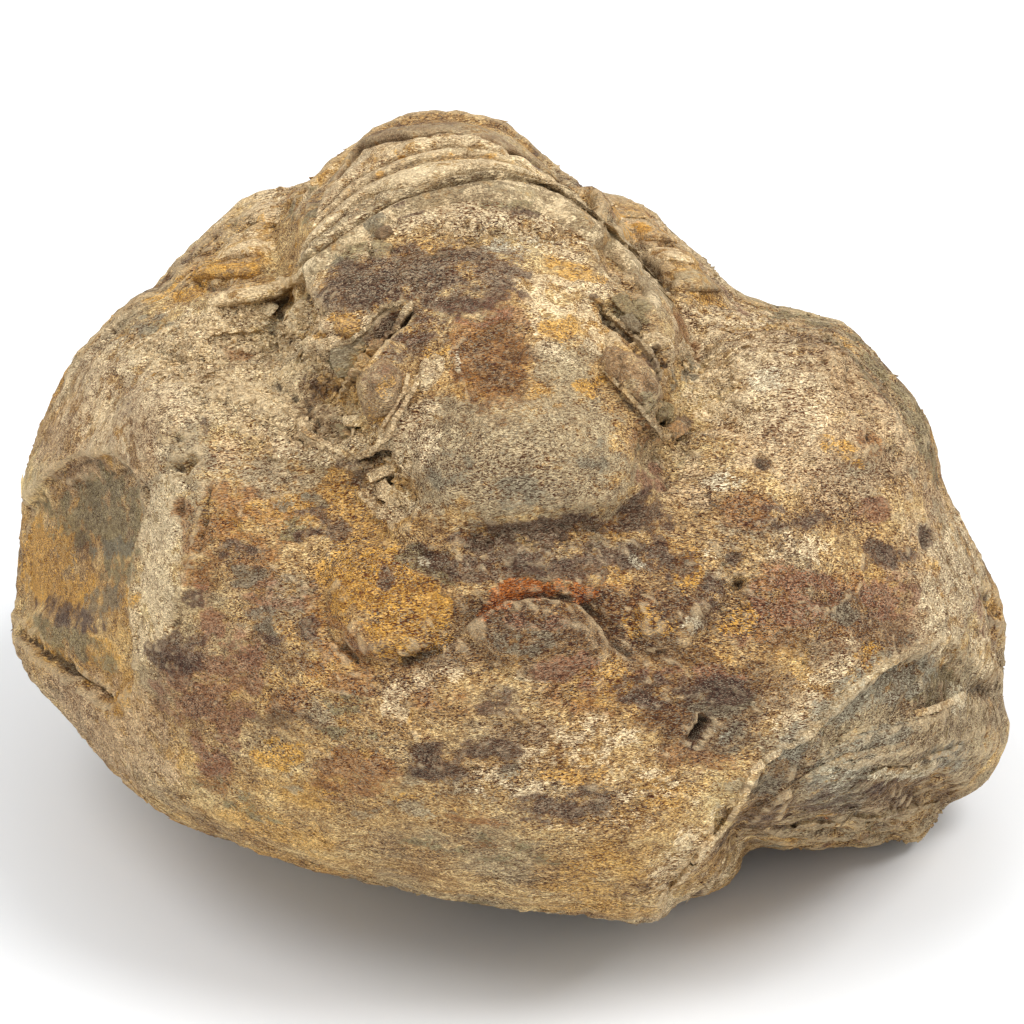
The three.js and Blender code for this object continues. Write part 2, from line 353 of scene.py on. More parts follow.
def pointsAt(at, corners, walk):
    return np.stack([np.interp(at, walk, corners[:, k]) for k in (0, 1)], axis=1)


outline = {
    "points": [
        (300, 183), (314, 176), (330, 160), (347, 148), (362, 138), (377, 126), (392, 120), (408, 113),
        (432, 110), (460, 111), (482, 115), (502, 121), (524, 137), (540, 152), (560, 168), (580, 182),
        (602, 190), (626, 197), (642, 205), (656, 213), (666, 226), (682, 240), (701, 256), (721, 276),
        (741, 293), (762, 301), (806, 311), (826, 318), (843, 322), (856, 333), (876, 353), (896, 377),
        (915, 398), (930, 424), (938, 450), (944, 482), (951, 500), (963, 520), (976, 545), (990, 575),
        (1002, 600), (1006, 630), (1004, 665), (1003, 700), (1009, 725), (1006, 746), (997, 766),
        (984, 784), (966, 795), (950, 803), (936, 822), (922, 838), (900, 838), (884, 844), (860, 847),
        (800, 849), (765, 848), (752, 852), (742, 861), (738, 872), (728, 885), (712, 893), (690, 899),
        (673, 908), (661, 920), (640, 924), (600, 919), (560, 914), (520, 911), (480, 905), (440, 899),
        (400, 890), (360, 882), (310, 870), (260, 853), (220, 838), (190, 828), (160, 812), (132, 791),
        (110, 769), (85, 741), (60, 711), (40, 690), (25, 671), (13, 645), (10, 622), (14, 600), (18, 560),
        (22, 510), (27, 470), (38, 430), (50, 402), (61, 380), (75, 356), (92, 337), (111, 316), (131, 300),
        (151, 288), (170, 266), (191, 245), (216, 222), (240, 200), (262, 192),
    ],
    "middle": (512, 530),
    "bins": 360,
    "stillTo": 0.72,  # share of the way out up to which nothing moves
}


def reachOf(x, y, bins, smoothing):
    # how far out the rim lies in each direction from the outline's middle
    turn = np.arctan2(y, x) / (2 * math.pi) * bins
    rim = np.zeros(bins)
    np.maximum.at(rim, np.round(turn).astype(int) % bins, np.hypot(x, y))
    for _ in range(smoothing):
        rim = np.maximum(rim, 0.5 * (np.roll(rim, 1) + np.roll(rim, -1)))
    return turn, rim


def fitOutline(skin):
    # eases the rim out or in until it meets the outline
    cx, cy = outline["middle"]
    corners, walk = paced(outline["points"], closed=True)
    x, y = pointsAt(np.linspace(0, walk[-1], 6000), corners, walk).T
    _, wanted = reachOf(x - cx, y - cy, outline["bins"], 0)
    for _ in range(2):
        x, y, depth = inPicture(skin.points)
        turn, rim = reachOf(x - cx, y - cy, outline["bins"], 2)
        place = np.arange(outline["bins"] + 1)
        turn = turn % outline["bins"]
        ratio = np.interp(turn, place, np.append(wanted / rim, wanted[0] / rim[0]))
        reach = np.interp(turn, place, np.append(rim, rim[0]))
        share = ease((np.hypot(x - cx, y - cy) / reach - outline["stillTo"]) / (1 - outline["stillTo"]))
        gain = (ratio - 1) * share * depth / pixelsPerSlope
        skin.points = skin.points + np.outer((x - cx) * gain, right) - np.outer((y - cy) * gain, up)


class Picture:
    def __init__(self, skin, ragged=0.0, seed=0):
        self.x, self.y, depth = inPicture(skin.points)
        if ragged:
            self.x = self.x + ragged * wave(skin.points, 0.8, seed, 2)
            self.y = self.y + ragged * wave(skin.points, 0.8, seed + 5, 2)
        self.size = depth / pixelsPerSlope  # mm to a pixel
        self.shown = shownShare(skin)

    def near(self, path, reach):
        # the points within reach pixels of the path's box
        xs, ys = [p[0] for p in path], [p[1] for p in path]
        return np.nonzero((self.shown > 0) & (self.x > min(xs) - reach) & (self.x < max(xs) + reach)
                          & (self.y > min(ys) - reach) & (self.y < max(ys) + reach))[0]

    def stroke(self, out, path, wide, height, kind="round", ends=0.12):
        # kinds: round, sharp (a crack or a knife edge), ledge (raised on the left of the path)
        reach = 3.5 * wide / camera["pixel"]
        k = self.near(path, reach)
        d, along, side = pathDistance(self.x[k], self.y[k], path)
        d = d * self.size[k] / wide
        taper = ease(np.minimum(along, 1 - along) / ends + 0.15) if ends else 1.0
        if kind == "round":
            form = np.exp(-d * d)
        elif kind == "sharp":
            form = np.clip(1 - d, 0, 1) ** 0.8
        else:
            edge = d * side
            form = ease(edge * wide / 0.3 + 0.5) * np.exp(-np.maximum(edge, 0))
        out[k] += height * taper * form * self.shown[k]

    def mound(self, out, at, size, turn, height, flat=1.0):
        # an oval swelling, size in pixels; flat above 1 makes its top flatter
        k = self.near([at], max(size) * 1.1)
        r = self.oval(k, at, size, turn)
        out[k] += height * np.clip(1 - r ** (2 * flat), 0, 1) ** 0.75 * self.shown[k]

    def plate(self, out, rim, height, edge):
        # raised by the same height inside its rim
        k = self.near(rim, 10)
        d, _, _ = pathDistance(self.x[k], self.y[k], rim, closed=True)
        d = np.where(insideOutline(self.x[k], self.y[k], rim), d, -d) * self.size[k]
        out[k] += height * ease(d / edge + 0.5) * self.shown[k]

    def oval(self, k, at, size, turn):
        a = math.radians(turn)
        dx, dy = self.x[k] - at[0], self.y[k] - at[1]
        return np.hypot((dx * math.cos(a) + dy * math.sin(a)) / size[0],
                        (-dx * math.sin(a) + dy * math.cos(a)) / size[1])


def zone(picture, ovals, count):
    # the strongest of the ovals at each point
    total = np.zeros(count)
    for at, size, turn, amount in ovals:
        k = picture.near([at], max(size) * 1.6)
        r = picture.oval(k, at, size, turn)
        total[k] = np.maximum(total[k], amount * (1 - ease((r - 0.6) / 0.8)))
    return total


# From here on, places on the stone are pixels of the camera's picture, and widths and heights are mm.

bigForms = {
    "furrows": [  # path, half width, height
        ([(300, 285), (288, 320), (292, 350), (310, 388), (335, 425), (362, 458), (384, 490), (412, 522)],
         1.5, -1.3),
        ([(604, 218), (645, 262), (685, 318), (698, 360), (694, 400), (676, 440), (655, 490)], 1.2, -1.1),
        ([(455, 541), (500, 534), (560, 528), (610, 528), (650, 506)], 0.75, -0.8),
        ([(436, 650), (455, 632), (482, 614), (515, 598), (560, 598), (592, 612), (625, 642), (655, 652),
          (690, 640)], 0.7, -0.6),
        ([(690, 640), (722, 610), (740, 578), (728, 545)], 0.6, -0.4),
        ([(318, 540), (318, 590), (338, 640), (372, 668), (400, 668), (436, 650)], 0.6, -0.45),
        ([(372, 256), (400, 240), (440, 231), (480, 228), (520, 226), (560, 230), (600, 243), (640, 270),
          (668, 290)], 0.7, -0.4),
        ([(330, 345), (352, 372), (338, 400)], 0.7, -0.6),
        ([(600, 300), (622, 330), (650, 362), (672, 402), (680, 440)], 0.6, -0.4),
        ([(60, 500), (100, 468), (132, 462), (148, 492), (142, 540), (140, 640), (126, 700)], 0.8, -0.35),
        ([(215, 307), (250, 310), (272, 308), (288, 296), (304, 280)], 0.55, -0.7),
        ([(680, 300), (715, 297), (748, 299), (790, 318), (830, 340), (866, 372), (892, 410), (910, 450)],
         0.5, -0.4),
        ([(200, 262), (240, 248), (285, 240)], 0.5, -0.3),
        ([(190, 280), (240, 281), (285, 268)], 0.5, -0.35),
    ],
    "mounds": [  # middle, half sizes, turn, height, flatness
        ((385, 380), (30, 34), 20, 1.0, 1.4),
        ((308, 346), (20, 16), 30, 0.8, 1.2),
        ((636, 372), (26, 42), -32, 0.9, 1.3),
        ((664, 318), (30, 42), -25, 0.8, 1.2),
        ((646, 402), (13, 11), 0, 0.6, 1.0),
        ((522, 462), (118, 66), 4, 0.6, 1.3),
        ((440, 300), (110, 48), -12, 0.3, 1.2),
        ((568, 330), (60, 60), 20, 0.3, 1.0),
        ((543, 640), (72, 40), 4, 0.65, 1.2),
        ((382, 602), (58, 62), 10, 0.6, 1.5),
        ((668, 618), (34, 36), 0, 0.45, 1.2),
        ((696, 620), (14, 22), 20, 0.35, 1.0),
        ((800, 400), (110, 62), 30, 0.8, 1.0),
        ((270, 425), (95, 34), 24, 0.8, 1.0),
        ((160, 420), (40, 60), 10, 0.5, 1.0),
        ((255, 291), (62, 11), -12, 0.45, 1.0),
        ((840, 640), (60, 34), 10, 0.35, 1.0),
        ((180, 660), (42, 34), 10, 0.3, 1.0),
        ((382, 230), (11, 9), 0, 0.5, 2.0),
        ((225, 270), (46, 9), -6, 0.3, 1.2),
        ((240, 225), (40, 9), -8, 0.3, 1.2),
        ((660, 250), (40, 9), 28, 0.3, 1.2),
        ((638, 228), (30, 8), 24, 0.3, 1.2),
        ((690, 275), (36, 9), 24, 0.3, 1.2),
    ],
    "plates": [  # outline, height, how wide its edge is
        ([(28, 506), (60, 492), (100, 466), (132, 462), (146, 490), (142, 545), (138, 640), (126, 690),
          (112, 700), (60, 662), (14, 615)], -0.45, 0.5),
        ([(655, 908), (668, 876), (700, 845), (740, 803), (758, 762), (812, 734), (848, 695), (884, 668),
          (920, 650), (952, 645), (985, 680), (1020, 730), (1006, 790), (940, 840), (860, 860), (755, 866),
          (735, 890), (690, 912)], -0.5, 0.4),
        ([(785, 826), (800, 770), (870, 772), (902, 767), (943, 776), (975, 790), (930, 826), (884, 834)],
         -0.35, 0.3),
        ([(812, 740), (848, 702), (893, 670), (920, 652), (956, 664), (974, 682), (952, 700), (911, 713),
          (875, 722), (839, 740)], -0.3, 0.3),
    ],
}


def carve(skin):
    picture = Picture(skin, ragged=3.0, seed=31)
    direction = skin.relaxed(skin.normals(), 12)
    out = np.zeros(len(skin.points))
    for path, wide, height in bigForms["furrows"]:
        picture.stroke(out, path, wide, height)
    for at, size, turn, height, flat in bigForms["mounds"]:
        picture.mound(out, at, size, turn, height, flat)
    for rim, height, edge in bigForms["plates"]:
        picture.plate(out, rim, height, edge)
    skin.points = skin.points + direction * out[:, None]


calmed = [  # middle, half sizes in pixels, turn, how much smoother than the rest
    ((430, 165), (120, 55), -4, 0.8), ((500, 203), (150, 20), 6, 0.9), ((615, 240), (70, 18), 44, 0.9),
    ((340, 256), (66, 15), -40, 0.8), ((262, 289), (76, 12), -14, 0.8), ((520, 468), (110, 48), 0, 0.6),
    ((384, 390), (24, 32), 25, 0.9), ((345, 326), (16, 13), 0, 0.9), ((662, 318), (26, 34), -30, 0.8),
    ((628, 372), (24, 44), -32, 0.8), ((100, 420), (60, 66), 0, 0.6), ((84, 560), (60, 90), 0, 0.8),
    ((440, 830), (280, 50), 6, 0.5), ((390, 600), (60, 60), 0, 0.5), ((545, 640), (70, 34), 0, 0.4),
    ((665, 250), (60, 40), 30, 0.5), ((240, 240), (60, 40), -20, 0.4),
]

crumbled = [  # middle, half sizes in pixels, turn, how crumbled
    ((240, 345), (120, 48), -8, 1.0), ((270, 420), (90, 32), 22, 0.9), ((345, 400), (70, 40), 55, 0.9),
    ((390, 480), (40, 40), 0, 0.9), ((490, 228), (150, 18), 3, 1.0), ((700, 380), (50, 60), 0, 0.7),
    ((800, 360), (110, 34), 25, 0.6), ((670, 430), (30, 50), 0, 0.9), ((560, 540), (110, 18), 0, 0.7),
    ((640, 300), (50, 30), 30, 0.5), ((240, 220), (80, 30), -20, 0.6), ((380, 210), (60, 14), -30, 0.6),
    ((735, 590), (24, 40), 0, 0.6), ((430, 640), (40, 20), -20, 0.5), ((900, 820), (110, 16), -5, 0.6),
    ((180, 470), (20, 30), 0, 0.6), ((380, 560), (60, 30), 0, 0.4), ((970, 620), (20, 60), 0, 0.4),
    ((630, 240), (60, 22), 30, 0.6), ((100, 490), (50, 40), 0, 0.4), ((840, 650), (40, 30), 0, 0.4),
]

crust = {  # heights in mm
    "lump": 0.26,
    "smallLump": 0.11,
    "clod": 0.34,  # of the crumbled stone
    "smallClod": 0.2,
    "scab": 0.15,  # flat crust with a sharp edge
    "grain": 0.1,
    "dust": 0.05,
}


def roughen(skin):
    # how crumbled the surface is: most behind the head, in the furrows and along the ridges
    picture = Picture(skin)
    calm = zone(picture, calmed, len(skin.points))
    crumble = 0.25 + 0.35 * wave(skin.points, 6.0, 51, 2)
    crumble = np.maximum(crumble * (1 - picture.shown * 0.8), zone(picture, crumbled, len(skin.points)))
    crumble = np.clip(crumble * (1 - calm), 0, 1)
    lumps = crust["lump"] * wave(skin.points, 7.0, 11, 3)
    lumps += crust["smallLump"] * wave(skin.points, 2.0, 12, 3, 0.6)
    skin.swell(lumps * (1 - 0.5 * picture.shown) * (1 - 0.7 * calm))
    layered = bedding(skin.points)
    # scabs of crust with a sharp edge, then the heaped grit of the crumbled stone
    broad = wave(layered, 3.4, 21, 4, 0.6)
    small = wave(layered, 1.3, 22, 3, 0.6)
    scab = 0.6 * ease((broad - 0.12) / 0.09) + 0.4 * ease((small - 0.2) / 0.12)
    bent = layered + 0.25 * np.stack([wave(layered, 0.8, k) for k in (5, 6, 7)], 1)
    grit = crust["clod"] * clods(bent, 1.25, 23) + crust["smallClod"] * clods(bent, 0.65, 24) - 0.3
    plain = crust["scab"] * scab * (1 - 0.5 * crumble) + crust["grain"] * clods(bent, 0.75, 25)
    plain += crust["dust"] * wave(bent, 0.5, 13, 2)
    skin.swell(crumble * grit + plain * (1 - 0.75 * calm))
    return crumble, scab, calm


ribGrooves = {  # the grooves between the ribs that lie beside the first rings
    "paths": [
        [(232, 212), (258, 208), (290, 208)],
        [(222, 232), (245, 236), (262, 235), (284, 231)],
        [(186, 262), (205, 256), (240, 249), (272, 247)],
        [(176, 280), (205, 276), (244, 281), (280, 272)],
        [(626, 216), (650, 218), (668, 226)],
        [(602, 220), (622, 225), (655, 231), (680, 240)],
        [(618, 240), (645, 240), (682, 244), (710, 258)],
        [(640, 257), (682, 262), (712, 270)],
        [(665, 283), (700, 282), (730, 286)],
    ],
    "rise": 0.35,  # of the rib's edge, mm
    "reach": 0.7,
    "wide": 0.2,
    "depth": -0.21,
}

edges = {
    # path, half width, height, kind
    "rims": [
        ([(345, 463), (368, 456), (388, 446), (398, 420), (412, 394), (432, 370)], 0.35, 0.55, "ledge"),
        ([(372, 338), (384, 320), (398, 308), (410, 300)], 0.3, 0.5, "ledge"),
        ([(600, 366), (620, 388), (640, 406), (652, 432), (680, 444)], 0.35, 0.5, "ledge"),
        ([(608, 318), (622, 328), (640, 345), (654, 362), (662, 384)], 0.3, 0.45, "ledge"),
        ([(640, 655), (622, 640), (600, 618), (578, 604), (540, 601), (505, 603), (470, 626), (444, 652)],
         0.4, 0.45, "ledge"),
        ([(455, 412), (470, 402), (462, 372), (452, 352), (470, 340)], 0.25, 0.25, "ledge"),
        ([(205, 385), (232, 398), (262, 408), (300, 430), (332, 452), (362, 470)], 0.5, 0.5, "round"),
        ([(385, 470), (396, 484), (392, 505)], 0.3, 0.35, "ledge"),
        ([(418, 556), (430, 548), (446, 548), (460, 562)], 0.3, 0.35, "ledge"),
        ([(20, 524), (38, 492), (62, 470), (90, 458), (118, 452), (134, 461), (146, 480), (149, 515),
          (140, 556), (134, 600), (138, 640), (141, 700)], 0.9, 0.6, "ledge"),
        ([(160, 640), (176, 620), (196, 560), (206, 505), (204, 440), (203, 398)], 0.4, 0.3, "ledge"),
        ([(655, 903), (700, 852), (736, 806), (756, 768), (808, 733), (846, 692), (884, 664), (920, 646),
          (948, 640)], 0.45, 0.4, "round"),
        ([(800, 345), (840, 362), (872, 392), (896, 430), (915, 470)], 0.4, 0.35, "round"),
        ([(860, 548), (858, 585), (830, 608), (800, 600), (786, 622)], 0.3, 0.28, "ledge"),
        ([(712, 560), (740, 530), (782, 522), (800, 548), (812, 580)], 0.3, 0.25, "ledge"),
        ([(770, 500), (830, 480), (880, 500), (900, 530)], 0.35, 0.25, "ledge"),
        ([(840, 470), (880, 446), (900, 460)], 0.3, 0.25, "ledge"),
        ([(255, 440), (262, 470), (292, 482), (330, 478), (370, 505), (400, 540)], 0.3, 0.25, "ledge"),
        ([(230, 480), (240, 520), (262, 560), (300, 590)], 0.25, 0.2, "ledge"),
    ],
    "cracks": [
        ([(12, 620), (18, 632), (31, 640), (38, 651), (52, 655), (62, 666)], 0.3, -0.8, "sharp"),
        ([(58, 661), (70, 672), (79, 684), (93, 688), (101, 698), (112, 701)], 0.38, -1.0, "sharp"),
        ([(986, 588), (994, 610), (997, 638), (1001, 668)], 0.34, -0.8, "sharp"),
        ([(692, 744), (709, 715)], 0.31, -1.0, "sharp"),
        ([(270, 312), (284, 303), (296, 290), (306, 278)], 0.4, -0.8, "sharp"),
        ([(345, 459), (368, 459), (390, 450)], 0.3, -0.6, "sharp"),
        ([(386, 500), (391, 476)], 0.35, -0.7, "sharp"),
        ([(330, 396), (345, 378), (356, 358), (380, 338), (402, 316), (408, 305)], 0.34, -0.8, "sharp"),
        ([(600, 300), (611, 322), (632, 342), (652, 366)], 0.25, -0.35, "sharp"),
        ([(655, 345), (664, 370)], 0.4, -0.7, "sharp"),
        ([(666, 398), (672, 426), (682, 442)], 0.4, -0.7, "sharp"),
        ([(310, 430), (330, 446)], 0.25, -0.5, "sharp"),
        ([(400, 665), (428, 657), (444, 645)], 0.28, -0.5, "sharp"),
        ([(578, 600), (600, 622), (622, 648), (636, 655)], 0.28, -0.55, "sharp"),
        ([(500, 600), (540, 597), (575, 602)], 0.2, -0.35, "sharp"),
        ([(338, 640), (348, 654), (360, 664)], 0.2, -0.35, "sharp"),
        ([(738, 588), (741, 574)], 0.3, -0.6, "sharp"),
        ([(806, 638), (812, 652), (806, 668)], 0.2, -0.35, "sharp"),
        ([(862, 690), (884, 672), (904, 656)], 0.2, -0.35, "sharp"),
        ([(200, 398), (202, 412)], 0.2, -0.4, "sharp"),
        ([(196, 560), (206, 520), (209, 480)], 0.18, -0.25, "sharp"),
        ([(866, 436), (880, 444)], 0.2, -0.35, "sharp"),
        ([(505, 150), (522, 160), (545, 173), (566, 187), (585, 199), (598, 216)], 0.3, -0.55, "sharp"),
        ([(582, 188), (594, 203), (604, 218)], 0.5, -0.8, "sharp"),
        ([(618, 243), (645, 269), (662, 283), (680, 298)], 0.25, -0.4, "sharp"),
        ([(205, 342), (220, 336), (240, 338), (256, 334), (276, 337)], 0.25, -0.45, "sharp"),
        ([(160, 362), (190, 360), (225, 356)], 0.2, -0.35, "sharp"),
        ([(270, 380), (300, 402), (322, 430)], 0.25, -0.4, "sharp"),
        ([(765, 830), (820, 828), (880, 838)], 0.25, -0.5, "sharp"),
        ([(826, 758), (848, 740), (884, 727), (920, 718), (947, 708), (965, 696), (1005, 694)], 0.5, -0.5,
         "ledge"),
        ([(1005, 724), (965, 731), (920, 745), (880, 752), (820, 768), (760, 806), (715, 855)], 0.5, 0.35,
         "ledge"),
        ([(995, 745), (950, 752), (905, 768), (868, 774), (850, 790)], 0.45, 0.35, "ledge"),
        ([(945, 804), (900, 814), (850, 822), (785, 826)], 0.35, 0.3, "ledge"),
        ([(930, 826), (884, 832), (830, 836), (770, 840)], 0.3, 0.25, "ledge"),
    ],
    "pits": [  # middle, half sizes, turn, depth
        ((186, 466), (15, 9), -35, -0.7),
        ((178, 438), (6, 6), 0, -0.5),
        ((180, 508), (7, 12), 0, -0.4),
        ((282, 304), (13, 8), -45, -0.5),
        ((612, 316), (12, 16), -30, -0.3),
        ((375, 247), (9, 7), 0, -0.4),
        ((737, 581), (6, 9), 10, -0.35),
        ((340, 428), (11, 10), 0, -0.5),
        ((668, 422), (10, 12), 0, -0.5),
        ((765, 462), (8, 9), 0, -0.35),
        ((925, 540), (6, 9), 0, -0.35),
        ((956, 517), (6, 7), 0, -0.35),
        ((298, 188), (11, 5), 0, -0.8),
        ((593, 203), (8, 15), -35, -0.8),
    ],
}


def scratch(skin):
    picture = Picture(skin, ragged=2.0, seed=41)
    direction = skin.relaxed(skin.normals(), 3)
    out = np.zeros(len(skin.points))
    for path in ribGrooves["paths"]:
        picture.stroke(out, path[::-1], ribGrooves["reach"], ribGrooves["rise"], "ledge", 0.2)
        picture.stroke(out, path, ribGrooves["wide"], ribGrooves["depth"], "round", 0.2)
    for path, wide, height, kind in edges["rims"] + edges["cracks"]:
        picture.stroke(out, path, wide, height, kind)
    for at, size, turn, height in edges["pits"]:
        picture.mound(out, at, size, turn, height, 1.5)
    skin.points = skin.points + direction * out[:, None]


def hollows(skin):
    # how far each point lies below the surface around it, fine and broad
    n = skin.normals()
    fine = ((skin.relaxed(skin.points, 3) - skin.points) * n).sum(1)
    broad = ((skin.relaxed(skin.points, 30) - skin.points) * n).sum(1)
    return fine, broad


tonePatches = [  # middle, half sizes in pixels, turn, how much paler (or darker, below 0)
    # shoulders and cheeks
    ((283, 275), (32, 74), 8, 0.75), ((722, 395), (46, 56), -20, 0.9), ((225, 335), (84, 54), 0, 0.5),
    ((158, 560), (24, 130), 8, 0.8), ((228, 790), (84, 34), 25, 0.8), ((684, 455), (32, 28), 0, 0.6),
    ((38, 482), (22, 46), 0, 0.9), ((150, 412), (34, 30), 0, -0.7), ((820, 425), (70, 42), 25, -0.5),
    ((790, 520), (80, 26), 0, -0.7), ((620, 296), (18, 22), -40, -0.5),
    # head
    ((465, 172), (82, 24), 0, 0.7), ((520, 250), (46, 20), 0, 0.6), ((606, 318), (28, 22), 40, 0.6),
    ((562, 352), (42, 40), 0, 0.5), ((476, 450), (44, 22), 0, 0.4), ((400, 290), (42, 20), 0, -1.0),
    ((384, 392), (14, 18), 0, -0.6), ((400, 412), (28, 24), 0, -0.8), ((645, 376), (20, 22), 0, -0.7),
    ((340, 335), (30, 20), 0, -0.5),
    # under the head and across the belly
    ((480, 612), (30, 22), 0, -1.2), ((565, 612), (90, 22), 0, -1.1), ((660, 605), (52, 58), 0, -0.9),
    ((530, 650), (100, 24), 0, -0.8), ((440, 620), (26, 60), 0, -0.8), ((712, 708), (60, 44), 0, -0.9),
    ((366, 566), (42, 30), 0, -0.7), ((418, 568), (28, 24), 0, -0.9), ((580, 690), (60, 18), 0, -0.8),
    ((520, 750), (38, 38), 0, -0.5), ((280, 690), (38, 60), 0, -0.5), ((240, 572), (40, 24), 0, -0.5),
    ((400, 860), (90, 16), 8, -0.5), ((320, 846), (62, 20), 20, 0.5),
    # towards the fracture
    ((858, 626), (70, 44), 0, -0.8), ((740, 608), (46, 34), 0, -0.6), ((806, 692), (30, 16), 0, -0.5),
    ((915, 690), (34, 20), 0, -0.6), ((765, 800), (40, 22), -48, -0.6), ((905, 794), (56, 17), -8, -0.6),
    ((722, 790), (30, 36), 30, 0.7), ((838, 782), (20, 28), -50, 0.5), ((965, 655), (20, 30), 0, 0.5),
]


def toneShift(skin):
    # how much paler or darker each point is than the bare stone
    picture = Picture(skin, ragged=4.0, seed=67)
    total = np.zeros(len(skin.points))
    for at, size, turn, amount in tonePatches:
        k = picture.near([at], max(size) * 1.6)
        r = picture.oval(k, at, size, turn)
        total[k] += amount * (1 - ease((r - 0.4) / 1.0)) * picture.shown[k]
    return total


def mottles(layered):
    # patches half a millimetre to four across: light against dark, and yellow against grey
    return wave(layered, 3.2, 71, 4, 0.72), wave(layered, 4.6, 75, 4, 0.7)


flecked = [  # middle, half sizes in pixels, turn, how strong the pale and dark grains are
    ((430, 270), (120, 36), -6, 1.4), ((400, 330), (60, 40), 0, 1.2), ((560, 540), (120, 24), 0, 1.1),
    ((840, 750), (120, 60), -25, 1.2), ((240, 345), (110, 44), -8, 1.2), ((520, 470), (110, 50), 0, 0.9),
    ((800, 600), (120, 50), 0, 1.1), ((955, 580), (40, 90), 20, 1.0),
]


def grains(skin, layered, crumble, calm):
    # how strongly the pale and dark grains show at each point
    grain = 0.85 + 0.35 * crumble - 0.25 * calm + 0.3 * wave(layered, 2.2, 77, 3)
    return np.clip(np.maximum(grain, zone(Picture(skin), flecked, len(grain))), 0.3, 1.4)


fibres = [  # middle, half sizes in pixels, turn, the way they run in the picture, how many
    ((840, 760), (190, 70), -38, (1.0, 0.62), 1.0), ((960, 690), (50, 70), 0, (1.0, 0.5), 0.8),
    ((60, 400), (50, 110), 25, (0.45, 1.0), 0.5), ((130, 320), (70, 30), -35, (0.8, 0.6), 0.4),
    ((960, 560), (44, 120), 20, (-0.4, 1.0), 0.6), ((250, 830), (200, 50), 18, (1.0, -0.35), 0.3),
    ((600, 870), (160, 50), -10, (1.0, 0.3), 0.4), ((700, 860), (60, 50), -45, (1.0, 1.0), 0.9),
    ((420, 270), (110, 34), -6, (1.0, 0.2), 0.5), ((240, 340), (90, 40), 0, (1.0, 0.1), 0.3),
    ((640, 230), (90, 30), 28, (1.0, -0.4), 0.3),
]


def fibreWays(skin):
    # the direction the stone's fibres run in at each point, and how many stand out
    picture = Picture(skin)
    n = skin.normals()
    way = np.cross(n, (0.15, 0.1, 1.0))
    share = 0.15 * (1 - picture.shown)
    for at, size, turn, (dx, dy), amount in fibres:
        k = picture.near([at], max(size) * 1.6)
        near = 1 - ease((picture.oval(k, at, size, turn) - 0.6) / 0.6)
        drawn = dx * right + dy * up
        drawn = drawn - n[k] * (n[k] @ drawn)[:, None]
        way[k] += (3 * near * picture.shown[k])[:, None] * drawn
        share[k] = np.maximum(share[k], amount * near * picture.shown[k])
    return way / np.maximum(np.linalg.norm(way, axis=1), 1e-6)[:, None], share


